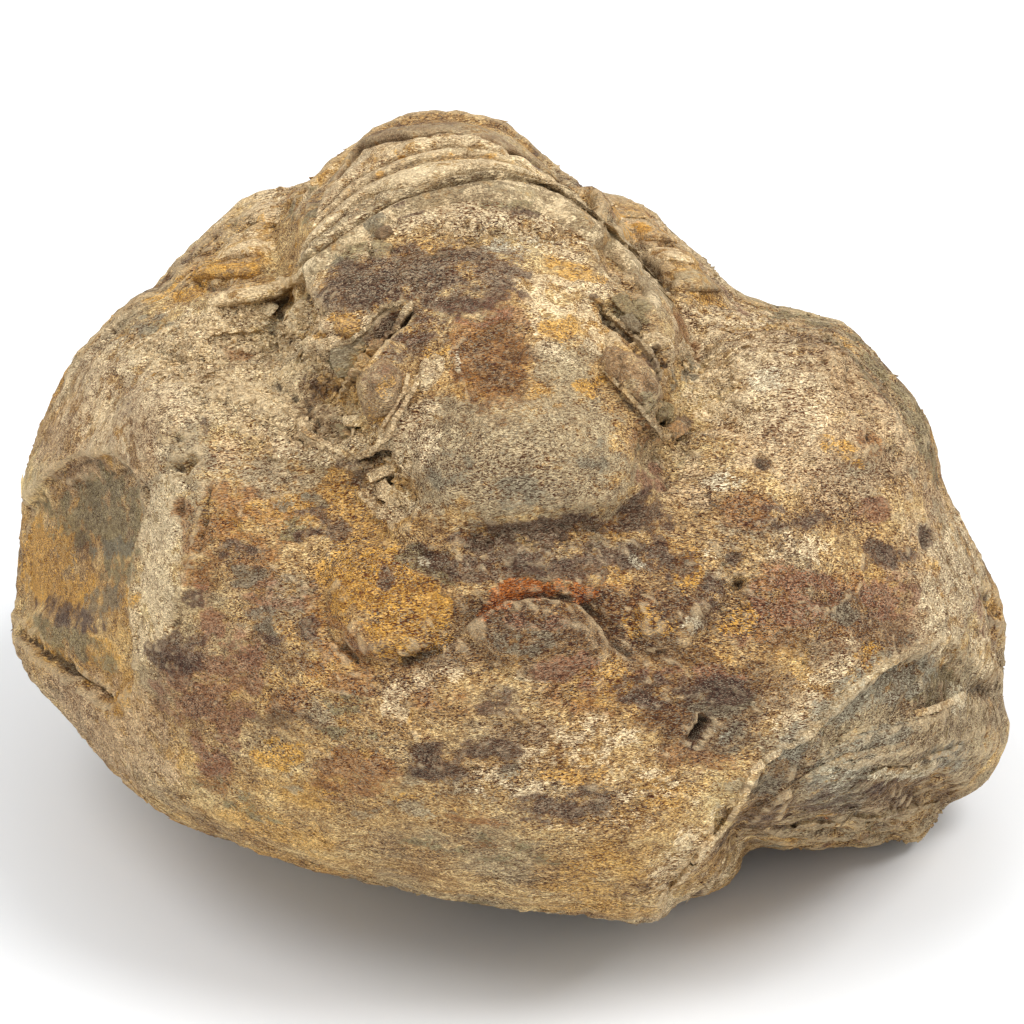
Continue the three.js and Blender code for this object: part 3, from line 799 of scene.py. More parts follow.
stains = {
    # tone: middle, half sizes in pixels, turn in degrees, strength
    "sand": [
        ((240, 350), (130, 46), -8, 1.3), ((270, 410), (100, 34), 22, 1.3), ((400, 450), (50, 30), -50, 0.8),
        ((470, 205), (130, 26), 6, 0.9), ((350, 240), (70, 20), -40, 0.9), ((120, 400), (60, 60), 0, 0.7),
        ((740, 370), (90, 60), 30, 0.8), ((430, 222), (90, 14), -8, 0.5), ((560, 300), (70, 60), 40, 0.6),
        ((250, 210), (60, 20), -25, 0.6), ((390, 500), (26, 22), 0, 0.8), ((158, 570), (24, 90), 8, 1.1),
        ((330, 170), (50, 30), -45, 0.3), ((690, 850), (60, 18), -42, 0.6), ((960, 560), (36, 110), 20, 0.5),
        ((580, 780), (140, 60), 0, 0.35), ((840, 655), (34, 22), 0, 0.9), ((790, 550), (36, 16), 0, 0.7),
        ((800, 700), (44, 34), -20, 0.7), ((540, 672), (26, 8), 0, 0.8), ((444, 676), (28, 14), -20, 0.8),
        ((395, 705), (14, 22), 0, 0.8), ((560, 740), (90, 26), 0, 0.5), ((985, 640), (14, 60), 0, 0.5),
    ],
    "peach": [
        ((810, 410), (130, 80), 30, 0.9), ((930, 580), (50, 110), 20, 0.8), ((120, 440), (80, 90), 0, 0.7),
        ((110, 730), (80, 50), 40, 0.8), ((700, 480), (60, 40), 0, 0.3), ((240, 470), (60, 40), 0, 0.5),
        ((620, 640), (60, 30), 30, 0.4), ((220, 640), (60, 50), 0, 0.3),
    ],
    "bark": [
        ((480, 612), (36, 18), 0, 1.2), ((520, 612), (34, 14), 0, 1.2), ((600, 612), (44, 18), 20, 1.1),
        ((640, 640), (50, 26), 20, 0.9), ((684, 610), (30, 26), 0, 0.8), ((724, 728), (34, 24), 0, 1.0),
        ((760, 690), (44, 26), 0, 0.9), ((440, 612), (14, 24), 0, 0.8), ((530, 632), (56, 18), 0, 1.3),
        ((560, 658), (44, 20), 0, 1.1), ((480, 655), (34, 14), 0, 0.8), ((800, 650), (40, 22), 0, 0.7),
        ((880, 636), (34, 26), 0, 0.9), ((928, 690), (30, 20), -20, 1.1), ((680, 722), (44, 22), 0, 1.0),
        ((720, 610), (28, 24), 0, 0.8), ((362, 562), (24, 22), 0, 0.6), ((762, 808), (50, 24), -45, 1.1),
        ((840, 610), (44, 20), 0, 0.7), ((280, 650), (40, 24), 0, 0.7), ((282, 728), (34, 20), 0, 0.6),
        ((440, 652), (40, 16), -20, 0.8), ((520, 728), (34, 20), 0, 0.6), ((680, 655), (34, 16), 0, 0.7),
        ((384, 394), (14, 18), 0, 0.9), ((790, 770), (34, 18), -45, 1.0), ((904, 794), (56, 17), -8, 1.2),
        ((500, 370), (40, 50), 0, 0.6), ((90, 485), (44, 30), 0, 0.5), ((320, 400), (26, 30), 0, 0.6),
    ],
    "drab": [
        ((565, 366), (34, 34), 0, 1.0), ((880, 760), (160, 80), -30, 1.3), ((960, 720), (60, 60), 0, 1.0),
        ((440, 195), (150, 20), -4, 1.0), ((952, 580), (40, 80), 0, 0.7), ((500, 200), (120, 22), 8, 0.8),
        ((620, 240), (70, 18), 44, 0.9), ((520, 460), (130, 70), 4, 1.0), ((480, 200), (110, 22), 8, 0.8),
        ((610, 250), (60, 14), 42, 0.7), ((380, 180), (60, 40), -45, 0.5), ((560, 555), (110, 18), 0, 0.8),
        ((270, 480), (50, 34), 0, 0.6), ((300, 465), (34, 16), 0, 0.7), ((290, 600), (30, 24), 0, 0.6),
        ((560, 600), (30, 8), 0, 0.3), ((180, 490), (30, 70), 10, 0.7), ((705, 590), (34, 44), 0, 0.5),
        ((300, 720), (50, 20), 0, 0.5), ((400, 790), (140, 34), 8, 0.35), ((760, 530), (60, 30), 0, 0.4),
        ((880, 470), (60, 40), 30, 0.3), ((370, 390), (40, 60), -40, 0.4), ((100, 340), (50, 16), -35, 0.5),
        ((900, 700), (60, 30), -30, 0.5),
    ],
    "cream": [
        ((765, 380), (15, 11), 0, 1.0), ((690, 622), (14, 18), 20, 0.35), ((425, 561), (6, 3), 0, 1.0),
        ((706, 554), (9, 5), 0, 0.8), ((461, 362), (3, 12), 6, 0.5), ((375, 508), (5, 4), 0, 0.9),
        ((516, 246), (40, 12), 8, 0.4), ((725, 480), (22, 10), 0, 0.6), ((440, 300), (4, 4), 0, 0.5),
        ((646, 564), (20, 12), 0, 0.25), ((270, 320), (10, 4), 0, 0.6), ((912, 772), (32, 7), -4, 0.9),
        ((958, 698), (14, 14), 0, 0.6), ((838, 776), (20, 22), -50, 0.35),
    ],
    "olive": [
        ((106, 508), (36, 38), 0, 1.0), ((120, 560), (20, 30), 0, 0.7), ((800, 314), (50, 8), 12, 1.0),
        ((880, 372), (50, 13), 48, 1.1), ((925, 436), (40, 12), 68, 1.1), ((108, 492), (30, 26), 0, 0.6),
        ((70, 640), (50, 16), 30, 0.8), ((90, 520), (50, 40), 0, 0.5), ((850, 345), (60, 10), 38, 0.8),
        ((910, 410), (44, 14), 62, 1.0), ((940, 470), (26, 10), 70, 0.8), ((352, 357), (20, 18), -40, 0.9),
        ((632, 312), (20, 16), 40, 0.9), ((645, 402), (13, 11), 0, 0.8), ((340, 258), (30, 14), -35, 0.6),
        ((310, 205), (20, 30), 35, 0.4), ((430, 562), (36, 14), 20, 0.9), ((300, 530), (24, 14), 0, 0.6),
        ((520, 205), (40, 8), 5, 0.5), ((345, 735), (34, 10), 0, 0.6), ((930, 688), (26, 20), 0, 1.0),
        ((345, 705), (26, 8), 0, 0.7), ((640, 450), (20, 14), 0, 0.4), ((215, 232), (40, 10), -35, 0.5),
        ((240, 800), (60, 16), 30, 0.3), ((480, 850), (120, 16), 8, 0.3),
    ],
    "shale": [
        ((845, 700), (60, 20), -38, 0.8), ((900, 680), (44, 18), -20, 0.7), ((840, 780), (34, 30), -45, 1.1),
        ((945, 758), (26, 14), -10, 1.1), ((870, 745), (50, 14), -20, 0.9), ((800, 745), (30, 14), -40, 0.7),
        ((715, 735), (16, 12), 0, 0.6),
    ],
    "slate": [
        ((115, 548), (24, 12), 0, 0.6), ((780, 770), (40, 16), -42, 0.8), ((885, 660), (40, 12), -30, 0.6),
        ((378, 230), (11, 8), 0, 1.0), ((445, 470), (34, 22), 0, 0.3), ((520, 492), (34, 14), 0, 0.6),
        ((600, 462), (34, 26), 0, 0.3), ((512, 770), (14, 10), 0, 0.8), ((715, 700), (34, 16), 0, 0.9),
        ((735, 738), (14, 16), 30, 0.9), ((845, 614), (13, 9), 0, 0.8), ((240, 575), (24, 11), 0, 0.8),
        ((305, 505), (30, 12), 0, 0.5), ((640, 700), (14, 9), 0, 0.7), ((555, 588), (8, 8), 0, 0.9),
        ((545, 562), (50, 10), 0, 0.5), ((150, 325), (22, 8), -10, 0.8), ((885, 556), (12, 8), 0, 0.4),
        ((270, 620), (34, 16), 0, 0.4), ((105, 600), (20, 16), 0, 0.7), ((80, 620), (24, 12), 0, 0.6),
        ((330, 265), (16, 12), 0, 0.5), ((680, 370), (14, 26), 0, 0.6), ((520, 640), (34, 14), 0, 0.5),
    ],
    "umber": [
        ((540, 562), (110, 24), 0, 0.8), ((650, 560), (60, 20), 0, 0.5), ((440, 268), (90, 26), -6, 1.1),
        ((365, 285), (46, 24), -14, 1.0), ((470, 300), (50, 20), -10, 0.8), ((410, 335), (40, 26), 0, 0.7),
        ((560, 527), (74, 9), 0, 1.1), ((640, 510), (22, 14), -40, 0.9), ((478, 538), (34, 6), -10, 0.8),
        # the umber along the slit at (700, 730) is painted shade inside the crack
        ((700, 730), (16, 4), -59, 2.0), ((180, 652), (30, 20), 10, 0.9), ((235, 548), (22, 10), 0, 0.7),
        ((195, 601), (12, 9), 0, 1.1), ((302, 632), (18, 13), 0, 0.8), ((284, 638), (24, 5), 5, 0.8),
        ((435, 764), (30, 18), 0, 0.9), ((490, 752), (30, 12), 15, 0.8), ((592, 798), (26, 12), 0, 0.9),
        ((545, 812), (54, 13), 5, 0.8), ((665, 690), (50, 18), 0, 0.8), ((720, 692), (30, 14), 0, 0.7),
        ((892, 554), (28, 11), 10, 1.0), ((870, 563), (12, 8), 0, 0.8), ((765, 463), (11, 9), 0, 0.8),
        ((712, 592), (20, 12), -40, 0.8), ((735, 560), (14, 9), -50, 0.7), ((322, 516), (30, 9), 10, 0.6),
        ((340, 530), (13, 14), 30, 0.6), ((310, 542), (12, 16), 20, 0.6), ((500, 702), (26, 13), 0, 0.9),
        ((925, 538), (8, 12), 0, 0.6), ((322, 392), (16, 26), -30, 0.4), ((385, 575), (10, 12), 0, 0.6),
        ((440, 553), (20, 6), 15, 0.9), ((70, 615), (34, 13), 20, 0.7), ((660, 525), (24, 10), 0, 0.7),
        ((205, 425), (5, 14), 0, 0.5), ((405, 128), (26, 4), -8, 0.6), ((800, 815), (60, 12), -10, 0.5),
        ((400, 215), (30, 6), -30, 0.5), ((350, 745), (30, 6), 0, 0.4), ((655, 358), (8, 20), -20, 0.8),
        ((790, 520), (40, 12), 5, 0.5), ((680, 430), (12, 14), 0, 0.7), ((850, 790), (60, 10), -8, 0.5),
        ((600, 196), (18, 8), 40, 0.8), ((520, 212), (30, 6), 0, 0.4), ((360, 470), (24, 20), 0, 0.4),
    ],
    "plum": [
        ((210, 680), (56, 50), 0, 0.7), ((214, 626), (14, 14), 0, 0.9), ((212, 745), (24, 30), 0, 0.8),
        ((570, 672), (38, 16), 0, 0.8), ((870, 512), (22, 13), 0, 0.8), ((888, 594), (28, 22), 0, 0.9),
        ((735, 634), (13, 13), 0, 0.8), ((752, 612), (12, 10), 0, 0.8), ((790, 596), (44, 30), 0, 0.6),
        ((380, 385), (30, 24), 40, 0.5), ((530, 618), (40, 12), 0, 0.6), ((690, 675), (60, 12), 0, 0.5),
        ((420, 330), (40, 14), -20, 0.5), ((650, 480), (16, 20), 0, 0.6), ((980, 610), (10, 30), 0, 0.3),
        ((350, 640), (30, 12), 20, 0.3), ((470, 312), (40, 16), 0, 0.5), ((240, 600), (70, 30), 0, 0.3),
    ],
    "rust": [
        ((492, 356), (34, 54), -8, 1.2), ((505, 315), (26, 26), 0, 0.7), ((332, 676), (50, 12), 22, 0.9),
        ((356, 774), (44, 26), 0, 0.9), ((215, 772), (16, 26), -25, 0.9), ((285, 702), (22, 14), 0, 0.8),
        ((680, 722), (44, 22), 5, 0.8), ((585, 690), (16, 8), 0, 0.7), ((748, 512), (28, 18), 0, 0.9),
        ((775, 604), (40, 40), 0, 0.8), ((840, 588), (40, 14), 0, 0.7), ((872, 445), (22, 9), 30, 0.8),
        ((180, 510), (8, 14), 0, 1.0), ((200, 575), (30, 16), 0, 0.6), ((235, 350), (18, 7), 20, 0.8),
        ((640, 222), (44, 15), 28, 0.8), ((480, 820), (50, 7), 0, 0.5), ((500, 848), (26, 5), 8, 0.7),
        ((620, 600), (60, 22), 15, 0.6), ((660, 600), (40, 20), 0, 0.5), ((880, 640), (24, 12), 0, 0.6),
        ((840, 620), (44, 26), 0, 0.5), ((800, 860), (30, 5), 0, 0.4), ((640, 440), (20, 26), 0, 0.5),
        ((270, 520), (60, 30), 0, 0.4), ((230, 500), (34, 22), 0, 0.4), ((450, 700), (60, 14), 0, 0.4),
        ((600, 700), (80, 20), 0, 0.35), ((700, 760), (60, 14), 0, 0.4), ((360, 620), (60, 60), 0, 0.5),
        ((285, 300), (12, 7), -45, 0.8), ((230, 545), (60, 40), 0, 0.4), ((370, 210), (40, 6), -35, 0.5),
    ],
    "amber": [
        ((372, 580), (52, 44), 20, 1.0), ((410, 632), (38, 26), -10, 1.1), ((424, 606), (22, 22), 0, 1.2),
        ((342, 568), (20, 22), 0, 0.9), ((50, 560), (30, 46), 10, 1.0), ((125, 600), (11, 9), 0, 1.1),
        ((75, 590), (30, 18), 20, 0.9), ((345, 326), (16, 14), 0, 1.0), ((560, 330), (20, 15), 0, 0.8),
        ((430, 352), (18, 9), 10, 0.8), ((572, 268), (34, 9), 14, 0.8), ((245, 224), (34, 7), -14, 0.7),
        ((200, 274), (52, 7), -8, 0.8), ((180, 294), (46, 7), -8, 0.8), ((872, 655), (16, 10), -20, 1.2),
        ((830, 811), (13, 9), 0, 1.3), ((690, 570), (16, 26), 0, 0.8), ((650, 622), (28, 13), 0, 0.7),
        ((845, 450), (28, 8), 35, 0.8), ((630, 215), (34, 9), 30, 0.6), ((280, 750), (26, 20), 0, 0.7),
        ((735, 620), (20, 18), 0, 0.7), ((120, 700), (10, 20), 30, 0.6), ((780, 545), (10, 10), 0, 0.6),
        ((570, 775), (60, 12), 0, 0.4), ((430, 800), (60, 10), 10, 0.3), ((500, 135), (50, 5), 5, 0.5),
        ((390, 165), (40, 5), -24, 0.5), ((420, 145), (40, 4), -10, 0.4), ((705, 300), (26, 6), 10, 0.7),
        ((385, 400), (12, 26), 30, 0.7), ((100, 655), (20, 16), 0, 0.6), ((830, 690), (18, 6), 0, 0.5),
        ((345, 400), (30, 14), 0, 0.3), ((320, 340), (10, 6), 0, 0.5), ((590, 385), (20, 10), 0, 0.5),
        ((60, 655), (40, 6), 35, 0.6), ((190, 640), (14, 10), 0, 0.5), ((540, 185), (40, 5), 12, 0.3),
    ],
    "orange": [
        ((532, 590), (42, 9), -3, 2.2), ((496, 606), (20, 8), -38, 1.4), ((588, 595), (16, 7), 12, 0.6),
        ((640, 228), (20, 7), 25, 0.4), ((860, 660), (12, 5), -10, 0.5), ((826, 820), (9, 6), 0, 0.4),
    ],
}

hiddenTones = {  # how common each tone is on the sides out of the picture, and the size of its patches
    "sand": (0.75, 12.0),
    "bark": (0.4, 9.0),
    "peach": (0.6, 14.0),
    "drab": (0.6, 10.0),
    "cream": (0.1, 3.0),
    "olive": (0.35, 7.0),
    "slate": (0.3, 8.0),
    "shale": (0.12, 9.0),
    "umber": (0.35, 6.0),
    "plum": (0.3, 8.0),
    "rust": (0.4, 6.0),
    "amber": (0.3, 6.0),
    "orange": (-0.4, 4.0),
}


def stainFields(skin):
    picture = Picture(skin, ragged=5.0, seed=61)
    layered = bedding(skin.points)
    fields = {}
    for number, (tone, ovals) in enumerate(stains.items()):
        front = np.zeros(len(skin.points))
        for at, size, turn, strength in ovals:
            k = picture.near([at], max(size) * 1.5)
            r = picture.oval(k, at, size, turn)
            front[k] = np.maximum(front[k], strength * (1 - ease((r - 0.5) / 0.95)))
        amount, size = hiddenTones[tone]
        patch = wave(skin.points, size, 80 + number, 3)
        hidden = ease((patch - 0.75 + amount) / 0.7)
        torn = 1 + 0.5 * wave(layered, 1.3, 95 + number, 3, 0.7)
        fields[tone] = skin.relaxed((front * picture.shown + hidden * (1 - picture.shown)) * torn, 1)
    return fields


def makeMesh(name, points, faces, attributes, smooth):
    mesh = bpy.data.meshes.new(name)
    mesh.from_pydata(np.asarray(points) * mm, [], [list(f) for f in faces])
    mesh.polygons.foreach_set("use_smooth", np.full(len(mesh.polygons), smooth))
    mesh.update()
    for label, values in attributes.items():
        kind, field = ("FLOAT_VECTOR", "vector") if values.ndim == 2 else ("FLOAT", "value")
        stored = mesh.attributes.new(label, kind, "POINT")
        stored.data.foreach_set(field, values.astype(np.float32).ravel())
    o = bpy.data.objects.new(name, mesh)
    bpy.context.scene.collection.objects.link(o)
    return o


makeCamera()
skin = castNet()
print("net:", len(skin.points), "points")
relief, ringGroove = ringRelief(skin.points)
skin.swell(relief)
carve(skin)
crumble, scab, calm = roughen(skin)
fitOutline(skin)
scratch(skin)
skin.points[:, 2] = np.maximum(skin.points[:, 2], 0.0)
print("sculpted")

layered = bedding(skin.points)
fine, broad = hollows(skin)
crumble = np.clip(crumble + 0.6 * ringGroove, 0, 1)
value, hue = mottles(layered)
way, slivered = fibreWays(skin)
attributes = {
    "crumble": crumble,
    "grain": grains(skin, layered, crumble, calm),
    "scab": scab,
    "value": value + toneShift(skin),
    "hue": hue,
    # how deep each point lies in a hollow, from which the rock paints dirt and shade in hollows and a
    # highlight on crests
    "hollowFine": fine,
    "hollowBroad": broad,
    "layer": layered[:, 2],
    "way": way,
    # how many of the loose pieces lie at each point
    "crumbsWhere": ease((crumble - 0.35) / 0.6),
    "sandWhere": (0.1 + 0.9 * shownShare(skin)) * (1 - 0.7 * calm),
    "sliversWhere": slivered,
    **stainFields(skin),
}
stone = makeMesh("stone", skin.points, skin.quads, attributes, True)
print("stone:", len(stone.data.polygons) * 2, "triangles")


def paint(r, g, b):
    # 0 to 255 as a screen shows it, to the linear colour a shader takes
    return tuple(((c / 255 + 0.055) / 1.055) ** 2.4 for c in (r, g, b)) + (1.0,)


tones = {
    "straw": paint(208, 178, 122),
    "ochre": paint(178, 138, 84),
    "brown": paint(124, 84, 44),
    # sand is also laid on raised points as a painted highlight
    "sand": paint(222, 194, 150),
    "peach": paint(198, 164, 122),
    "drab": paint(154, 134, 102),
    "cream": paint(224, 208, 172),
    "olive": paint(122, 106, 70),
    "slate": paint(114, 102, 80),
    "shale": paint(140, 130, 108),
    "umber": paint(84, 56, 40),
    "plum": paint(132, 84, 56),
    "rust": paint(144, 92, 42),
    "bark": paint(108, 72, 34),
    "amber": paint(194, 140, 54),
    "orange": paint(170, 92, 26),
    # dark brown for the dark grains, and for dirt and painted shade in the hollows
    "dirtAndShade": paint(60, 42, 26),
    "fleck": paint(238, 220, 184),
}


def put(tree, kind, inputs=None, **settings):
    n = tree.nodes.new(kind)
    for key, value in settings.items():
        setattr(n, key, value)
    for key, value in (inputs or {}).items():
        if isinstance(value, bpy.types.NodeSocket):
            tree.links.new(value, n.inputs[key])
        else:
            n.inputs[key].default_value = value
    return n


def sums(tree, operation, a, b=0.0, c=0.0):
    return put(tree, "ShaderNodeMath", {0: a, 1: b, 2: c}, operation=operation).outputs[0]


def spread(tree, value, low, high, toLow=0.0, toHigh=1.0, kind="SMOOTHSTEP"):
    sockets = {"Value": value, "From Min": low, "From Max": high, "To Min": toLow, "To Max": toHigh}
    return put(tree, "ShaderNodeMapRange", sockets, interpolation_type=kind).outputs["Result"]


def blend(tree, share, a, b, how="MIX"):
    n = put(tree, "ShaderNodeMix", data_type="RGBA", blend_type=how)
    for socket, value in ((n.inputs[0], share), (n.inputs[6], a), (n.inputs[7], b)):
        if isinstance(value, bpy.types.NodeSocket):
            tree.links.new(value, socket)
        else:
            socket.default_value = value
    return n.outputs[2]


def newGroup(name, inputs, outputs):
    tree = bpy.data.node_groups.new(name, "ShaderNodeTree")
    for label, kind in inputs:
        tree.interface.new_socket(label, in_out="INPUT", socket_type=kind)
    for label in outputs:
        tree.interface.new_socket(label, in_out="OUTPUT", socket_type="NodeSocketFloat")
    return tree, tree.nodes.new("NodeGroupInput").outputs, tree.nodes.new("NodeGroupOutput").inputs


grainLook = {
    "blot": (0.75, 5.0, 0.62),  # noise: features to a mm, detail, roughness
    "patch": (2.0, 4.0, 0.85),
    "lump": (1.8, 3.0, 0.65),
    "sand": 5.0,  # grains to a mm
    "dust": 20.0,
    "drawn": (0.45, 1.0, 0.9),  # the dust is longest across the stone
    "dustShare": 0.85,  # of a grain's tone, the rest is sand
    "paleFrom": 0.68,  # dust above this is pale
    "darkFrom": (0.6, 0.75),  # sand and dust above these are dark
    "paleLine": (0.555, 0.022),  # where pale lines run between patches, and half their width
    "darkLine": (0.47, 0.028),
    "lumpRise": 0.25,  # mm
    "dustRise": 0.1,
}


def noise(tree, place, scale, detail, rough):
    inputs = {"Vector": place, "Scale": scale, "Detail": detail, "Roughness": rough}
    return put(tree, "ShaderNodeTexNoise", inputs).outputs["Fac"]


def lineAt(tree, value, level, half):
    # 1 where the value crosses the level, 0 beyond half the line's width
    away = sums(tree, "ABSOLUTE", sums(tree, "SUBTRACT", value, level))
    return spread(tree, away, 0.0, half, 1.0, 0.0)


def makeRockGrain():
    # patches and sand grains drawn out along the stone's layers, and their relief in mm
    tree, given, out = newGroup(
        "rockGrain",
        [("Point", "NodeSocketVector"), ("Layer", "NodeSocketFloat"), ("Crumble", "NodeSocketFloat"),
         ("Grain", "NodeSocketFloat")],
        ["Blot", "Patch", "Seed", "Pale", "Dark", "Height"],
    )
    xyz = put(tree, "ShaderNodeSeparateXYZ", {0: given["Point"]}).outputs
    place = put(tree, "ShaderNodeCombineXYZ", {0: xyz[0], 1: xyz[1], 2: given["Layer"]}).outputs[0]
    blot, patch, rough = (noise(tree, place, *grainLook[name]) for name in ("blot", "patch", "lump"))
    sand = put(tree, "ShaderNodeTexVoronoi", {"Vector": place, "Scale": grainLook["sand"]})
    drawn = put(tree, "ShaderNodeVectorMath", {0: place, 1: grainLook["drawn"]}, operation="MULTIPLY")
    dust = put(tree, "ShaderNodeTexVoronoi", {"Vector": drawn.outputs[0], "Scale": grainLook["dust"]})
    sandSeed = put(tree, "ShaderNodeSeparateColor", {0: sand.outputs["Color"]}).outputs
    dustSeed = put(tree, "ShaderNodeSeparateColor", {0: dust.outputs["Color"]}).outputs
    top = spread(tree, sand.outputs["Distance"], 0.05, 0.7, 1.0, 0.0)
    grit = spread(tree, dust.outputs["Distance"], 0.0, 0.8, 1.0, 0.0)
    # each grain's own tone
    share = grainLook["dustShare"]
    seed = sums(tree, "MULTIPLY_ADD", dustSeed[0], share, -0.5)
    seed = sums(tree, "MULTIPLY_ADD", sandSeed[0], 1 - share, seed)
    seed = sums(tree, "MULTIPLY_ADD", seed, given["Grain"], 0.5)
    # pale dust and pale lines
    pale = spread(tree, dustSeed[1], grainLook["paleFrom"], 0.95)
    pale = sums(tree, "MULTIPLY", pale, spread(tree, grit, 0.0, 0.35))
    line = sums(tree, "MULTIPLY", lineAt(tree, patch, *grainLook["paleLine"]), dustSeed[0])
    pale = sums(tree, "MAXIMUM", sums(tree, "MULTIPLY", pale, 0.8), line)
    pale = sums(tree, "MULTIPLY", pale, given["Grain"])
    # dark sand, dark dust and dark lines
    sandFrom, dustFrom = grainLook["darkFrom"]
    dark = spread(tree, sandSeed[2], sandFrom, 1.0, 0, 0.4)
    dark = sums(tree, "MULTIPLY", dark, spread(tree, top, 0.95, 0.3))
    dark = sums(tree, "MAXIMUM", dark, spread(tree, dustSeed[2], dustFrom, 1.0, 0, 0.7))
    line = lineAt(tree, patch, *grainLook["darkLine"])
    line = sums(tree, "MULTIPLY", line, spread(tree, dustSeed[0], 0.0, 0.6))
    dark = sums(tree, "MULTIPLY", sums(tree, "MAXIMUM", dark, line), given["Grain"])
    lump = sums(tree, "MULTIPLY_ADD", given["Crumble"], grainLook["lumpRise"], grainLook["lumpRise"])
    height = sums(tree, "MULTIPLY", rough, lump)
    fine = sums(tree, "MULTIPLY", grit, dustSeed[1])
    height = sums(tree, "MULTIPLY_ADD", fine, grainLook["dustRise"], height)
    results = {"Blot": blot, "Patch": patch, "Seed": seed, "Pale": pale, "Dark": dark, "Height": height}
    for name, value in results.items():
        tree.links.new(value, out[name])
    return tree


def makeStainMask():
    # where a stain shows: its field, broken up at the edge
    tree, given, out = newGroup(
        "stainMask",
        [(label, "NodeSocketFloat") for label in ("Field", "Breakup", "Ragged", "Soft")],
        ["Mask"],
    )
    shifted = sums(tree, "MULTIPLY", sums(tree, "SUBTRACT", given["Breakup"], 0.5), given["Ragged"])
    shifted = sums(tree, "MULTIPLY", shifted, spread(tree, given["Field"], 0.0, 0.45))
    value = sums(tree, "ADD", given["Field"], shifted)
    low = sums(tree, "SUBTRACT", 0.5, given["Soft"])
    high = sums(tree, "ADD", 0.5, given["Soft"])
    tree.links.new(spread(tree, value, low, high), out["Mask"])
    return tree


rockGrain = makeRockGrain()
stainMask = makeStainMask()

stainLook = {  # in the order they lie over one another: ragged, soft, most cover
    "peach": (3.5, 0.3, 0.7),
    "drab": (4.0, 0.2, 0.8),
    "sand": (4.5, 0.2, 0.75),
    "rust": (5.0, 0.2, 0.8),
    "bark": (5.0, 0.2, 0.75),
    "plum": (5.0, 0.2, 0.8),
    "amber": (5.0, 0.16, 0.85),
    "olive": (5.0, 0.16, 0.85),
    "slate": (5.0, 0.14, 0.8),
    "shale": (4.0, 0.2, 0.8),
    "umber": (5.5, 0.18, 0.88),
    "orange": (4.0, 0.2, 1.0),
    "cream": (5.0, 0.2, 0.6),
}


rockLook = {
    # what makes the stone pale: its patches, its grains, the large mottles and the scabs
    "patches": 0.7,
    "grains": 0.3,
    "mottles": 0.15,
    "scabs": 0.06,
    "light": -0.375,  # lighter above, darker below
    "contrast": 0.82,  # of one grain against the next
    "darkest": (0.22, 0.1, 0.03, 1),  # what the tones are multiplied by
    "palest": (1.85, 2.02, 2.2, 1),
    "dirtAndShade": 0.8,  # most cover of dirt and painted shade in the hollows
    "darkGrains": 0.55,
    "paleGrains": 0.6,
    "sand": 0.5,  # sand colour on what stands out, partly worn sand and partly a painted highlight
    "roughness": 0.88,
    "specular": 0.35,
}


def readField(tree, name):
    return put(tree, "ShaderNodeAttribute", attribute_name=name).outputs["Fac"]


def placeGrain(tree):
    place = put(tree, "ShaderNodeTexCoord").outputs["Object"]
    point = put(tree, "ShaderNodeMapping", {"Vector": place, "Scale": (1 / mm,) * 3}).outputs[0]
    grain = put(tree, "ShaderNodeGroup", node_tree=rockGrain)
    tree.links.new(point, grain.inputs["Point"])
    for label in ("Layer", "Crumble", "Grain"):
        tree.links.new(readField(tree, label.lower()), grain.inputs[label])
    return grain.outputs


def bareColour(tree, g, value):
    # the bare stone runs from brown to straw, with yellower and greyer patches
    colour = blend(tree, spread(tree, value, 0.2, 0.55), tones["brown"], tones["ochre"])
    colour = blend(tree, spread(tree, value, 0.5, 0.85), colour, tones["straw"])
    hue = sums(tree, "MULTIPLY_ADD", g["Patch"], 1.2, sums(tree, "ADD", readField(tree, "hue"), -0.6))
    colour = blend(tree, spread(tree, hue, 0.15, 0.7, 0, 0.55), colour, tones["amber"])
    return blend(tree, spread(tree, hue, -0.15, -0.7, 0, 0.6), colour, tones["drab"])


def stainedColour(tree, g, colour):
    breakup = sums(tree, "MULTIPLY_ADD", g["Patch"], 0.45, sums(tree, "ADD", g["Blot"], -0.3))
    breakup = sums(tree, "MULTIPLY_ADD", g["Seed"], 0.15, breakup)
    for tone, (ragged, soft, cover) in stainLook.items():
        mask = put(tree, "ShaderNodeGroup", node_tree=stainMask)
        tree.links.new(readField(tree, tone), mask.inputs["Field"])
        tree.links.new(breakup, mask.inputs["Breakup"])
        mask.inputs["Ragged"].default_value = ragged
        mask.inputs["Soft"].default_value = soft
        colour = blend(tree, sums(tree, "MULTIPLY", mask.outputs[0], cover), colour, tones[tone])
    return colour


def shadedColour(tree, g, value, colour):
    # light and dark within every tone, the dark redder than the light
    shade = sums(tree, "ADD", value, rockLook["light"])
    shade = sums(tree, "MULTIPLY_ADD", g["Seed"], rockLook["contrast"], shade)
    dim = blend(tree, spread(tree, shade, 0.2, 0.55, 0, 1, "LINEAR"), rockLook["darkest"], (1, 1, 1, 1))
    dim = blend(tree, spread(tree, shade, 0.55, 0.93, 0, 1, "LINEAR"), dim, rockLook["palest"])
    return blend(tree, 1.0, colour, dim, "MULTIPLY")


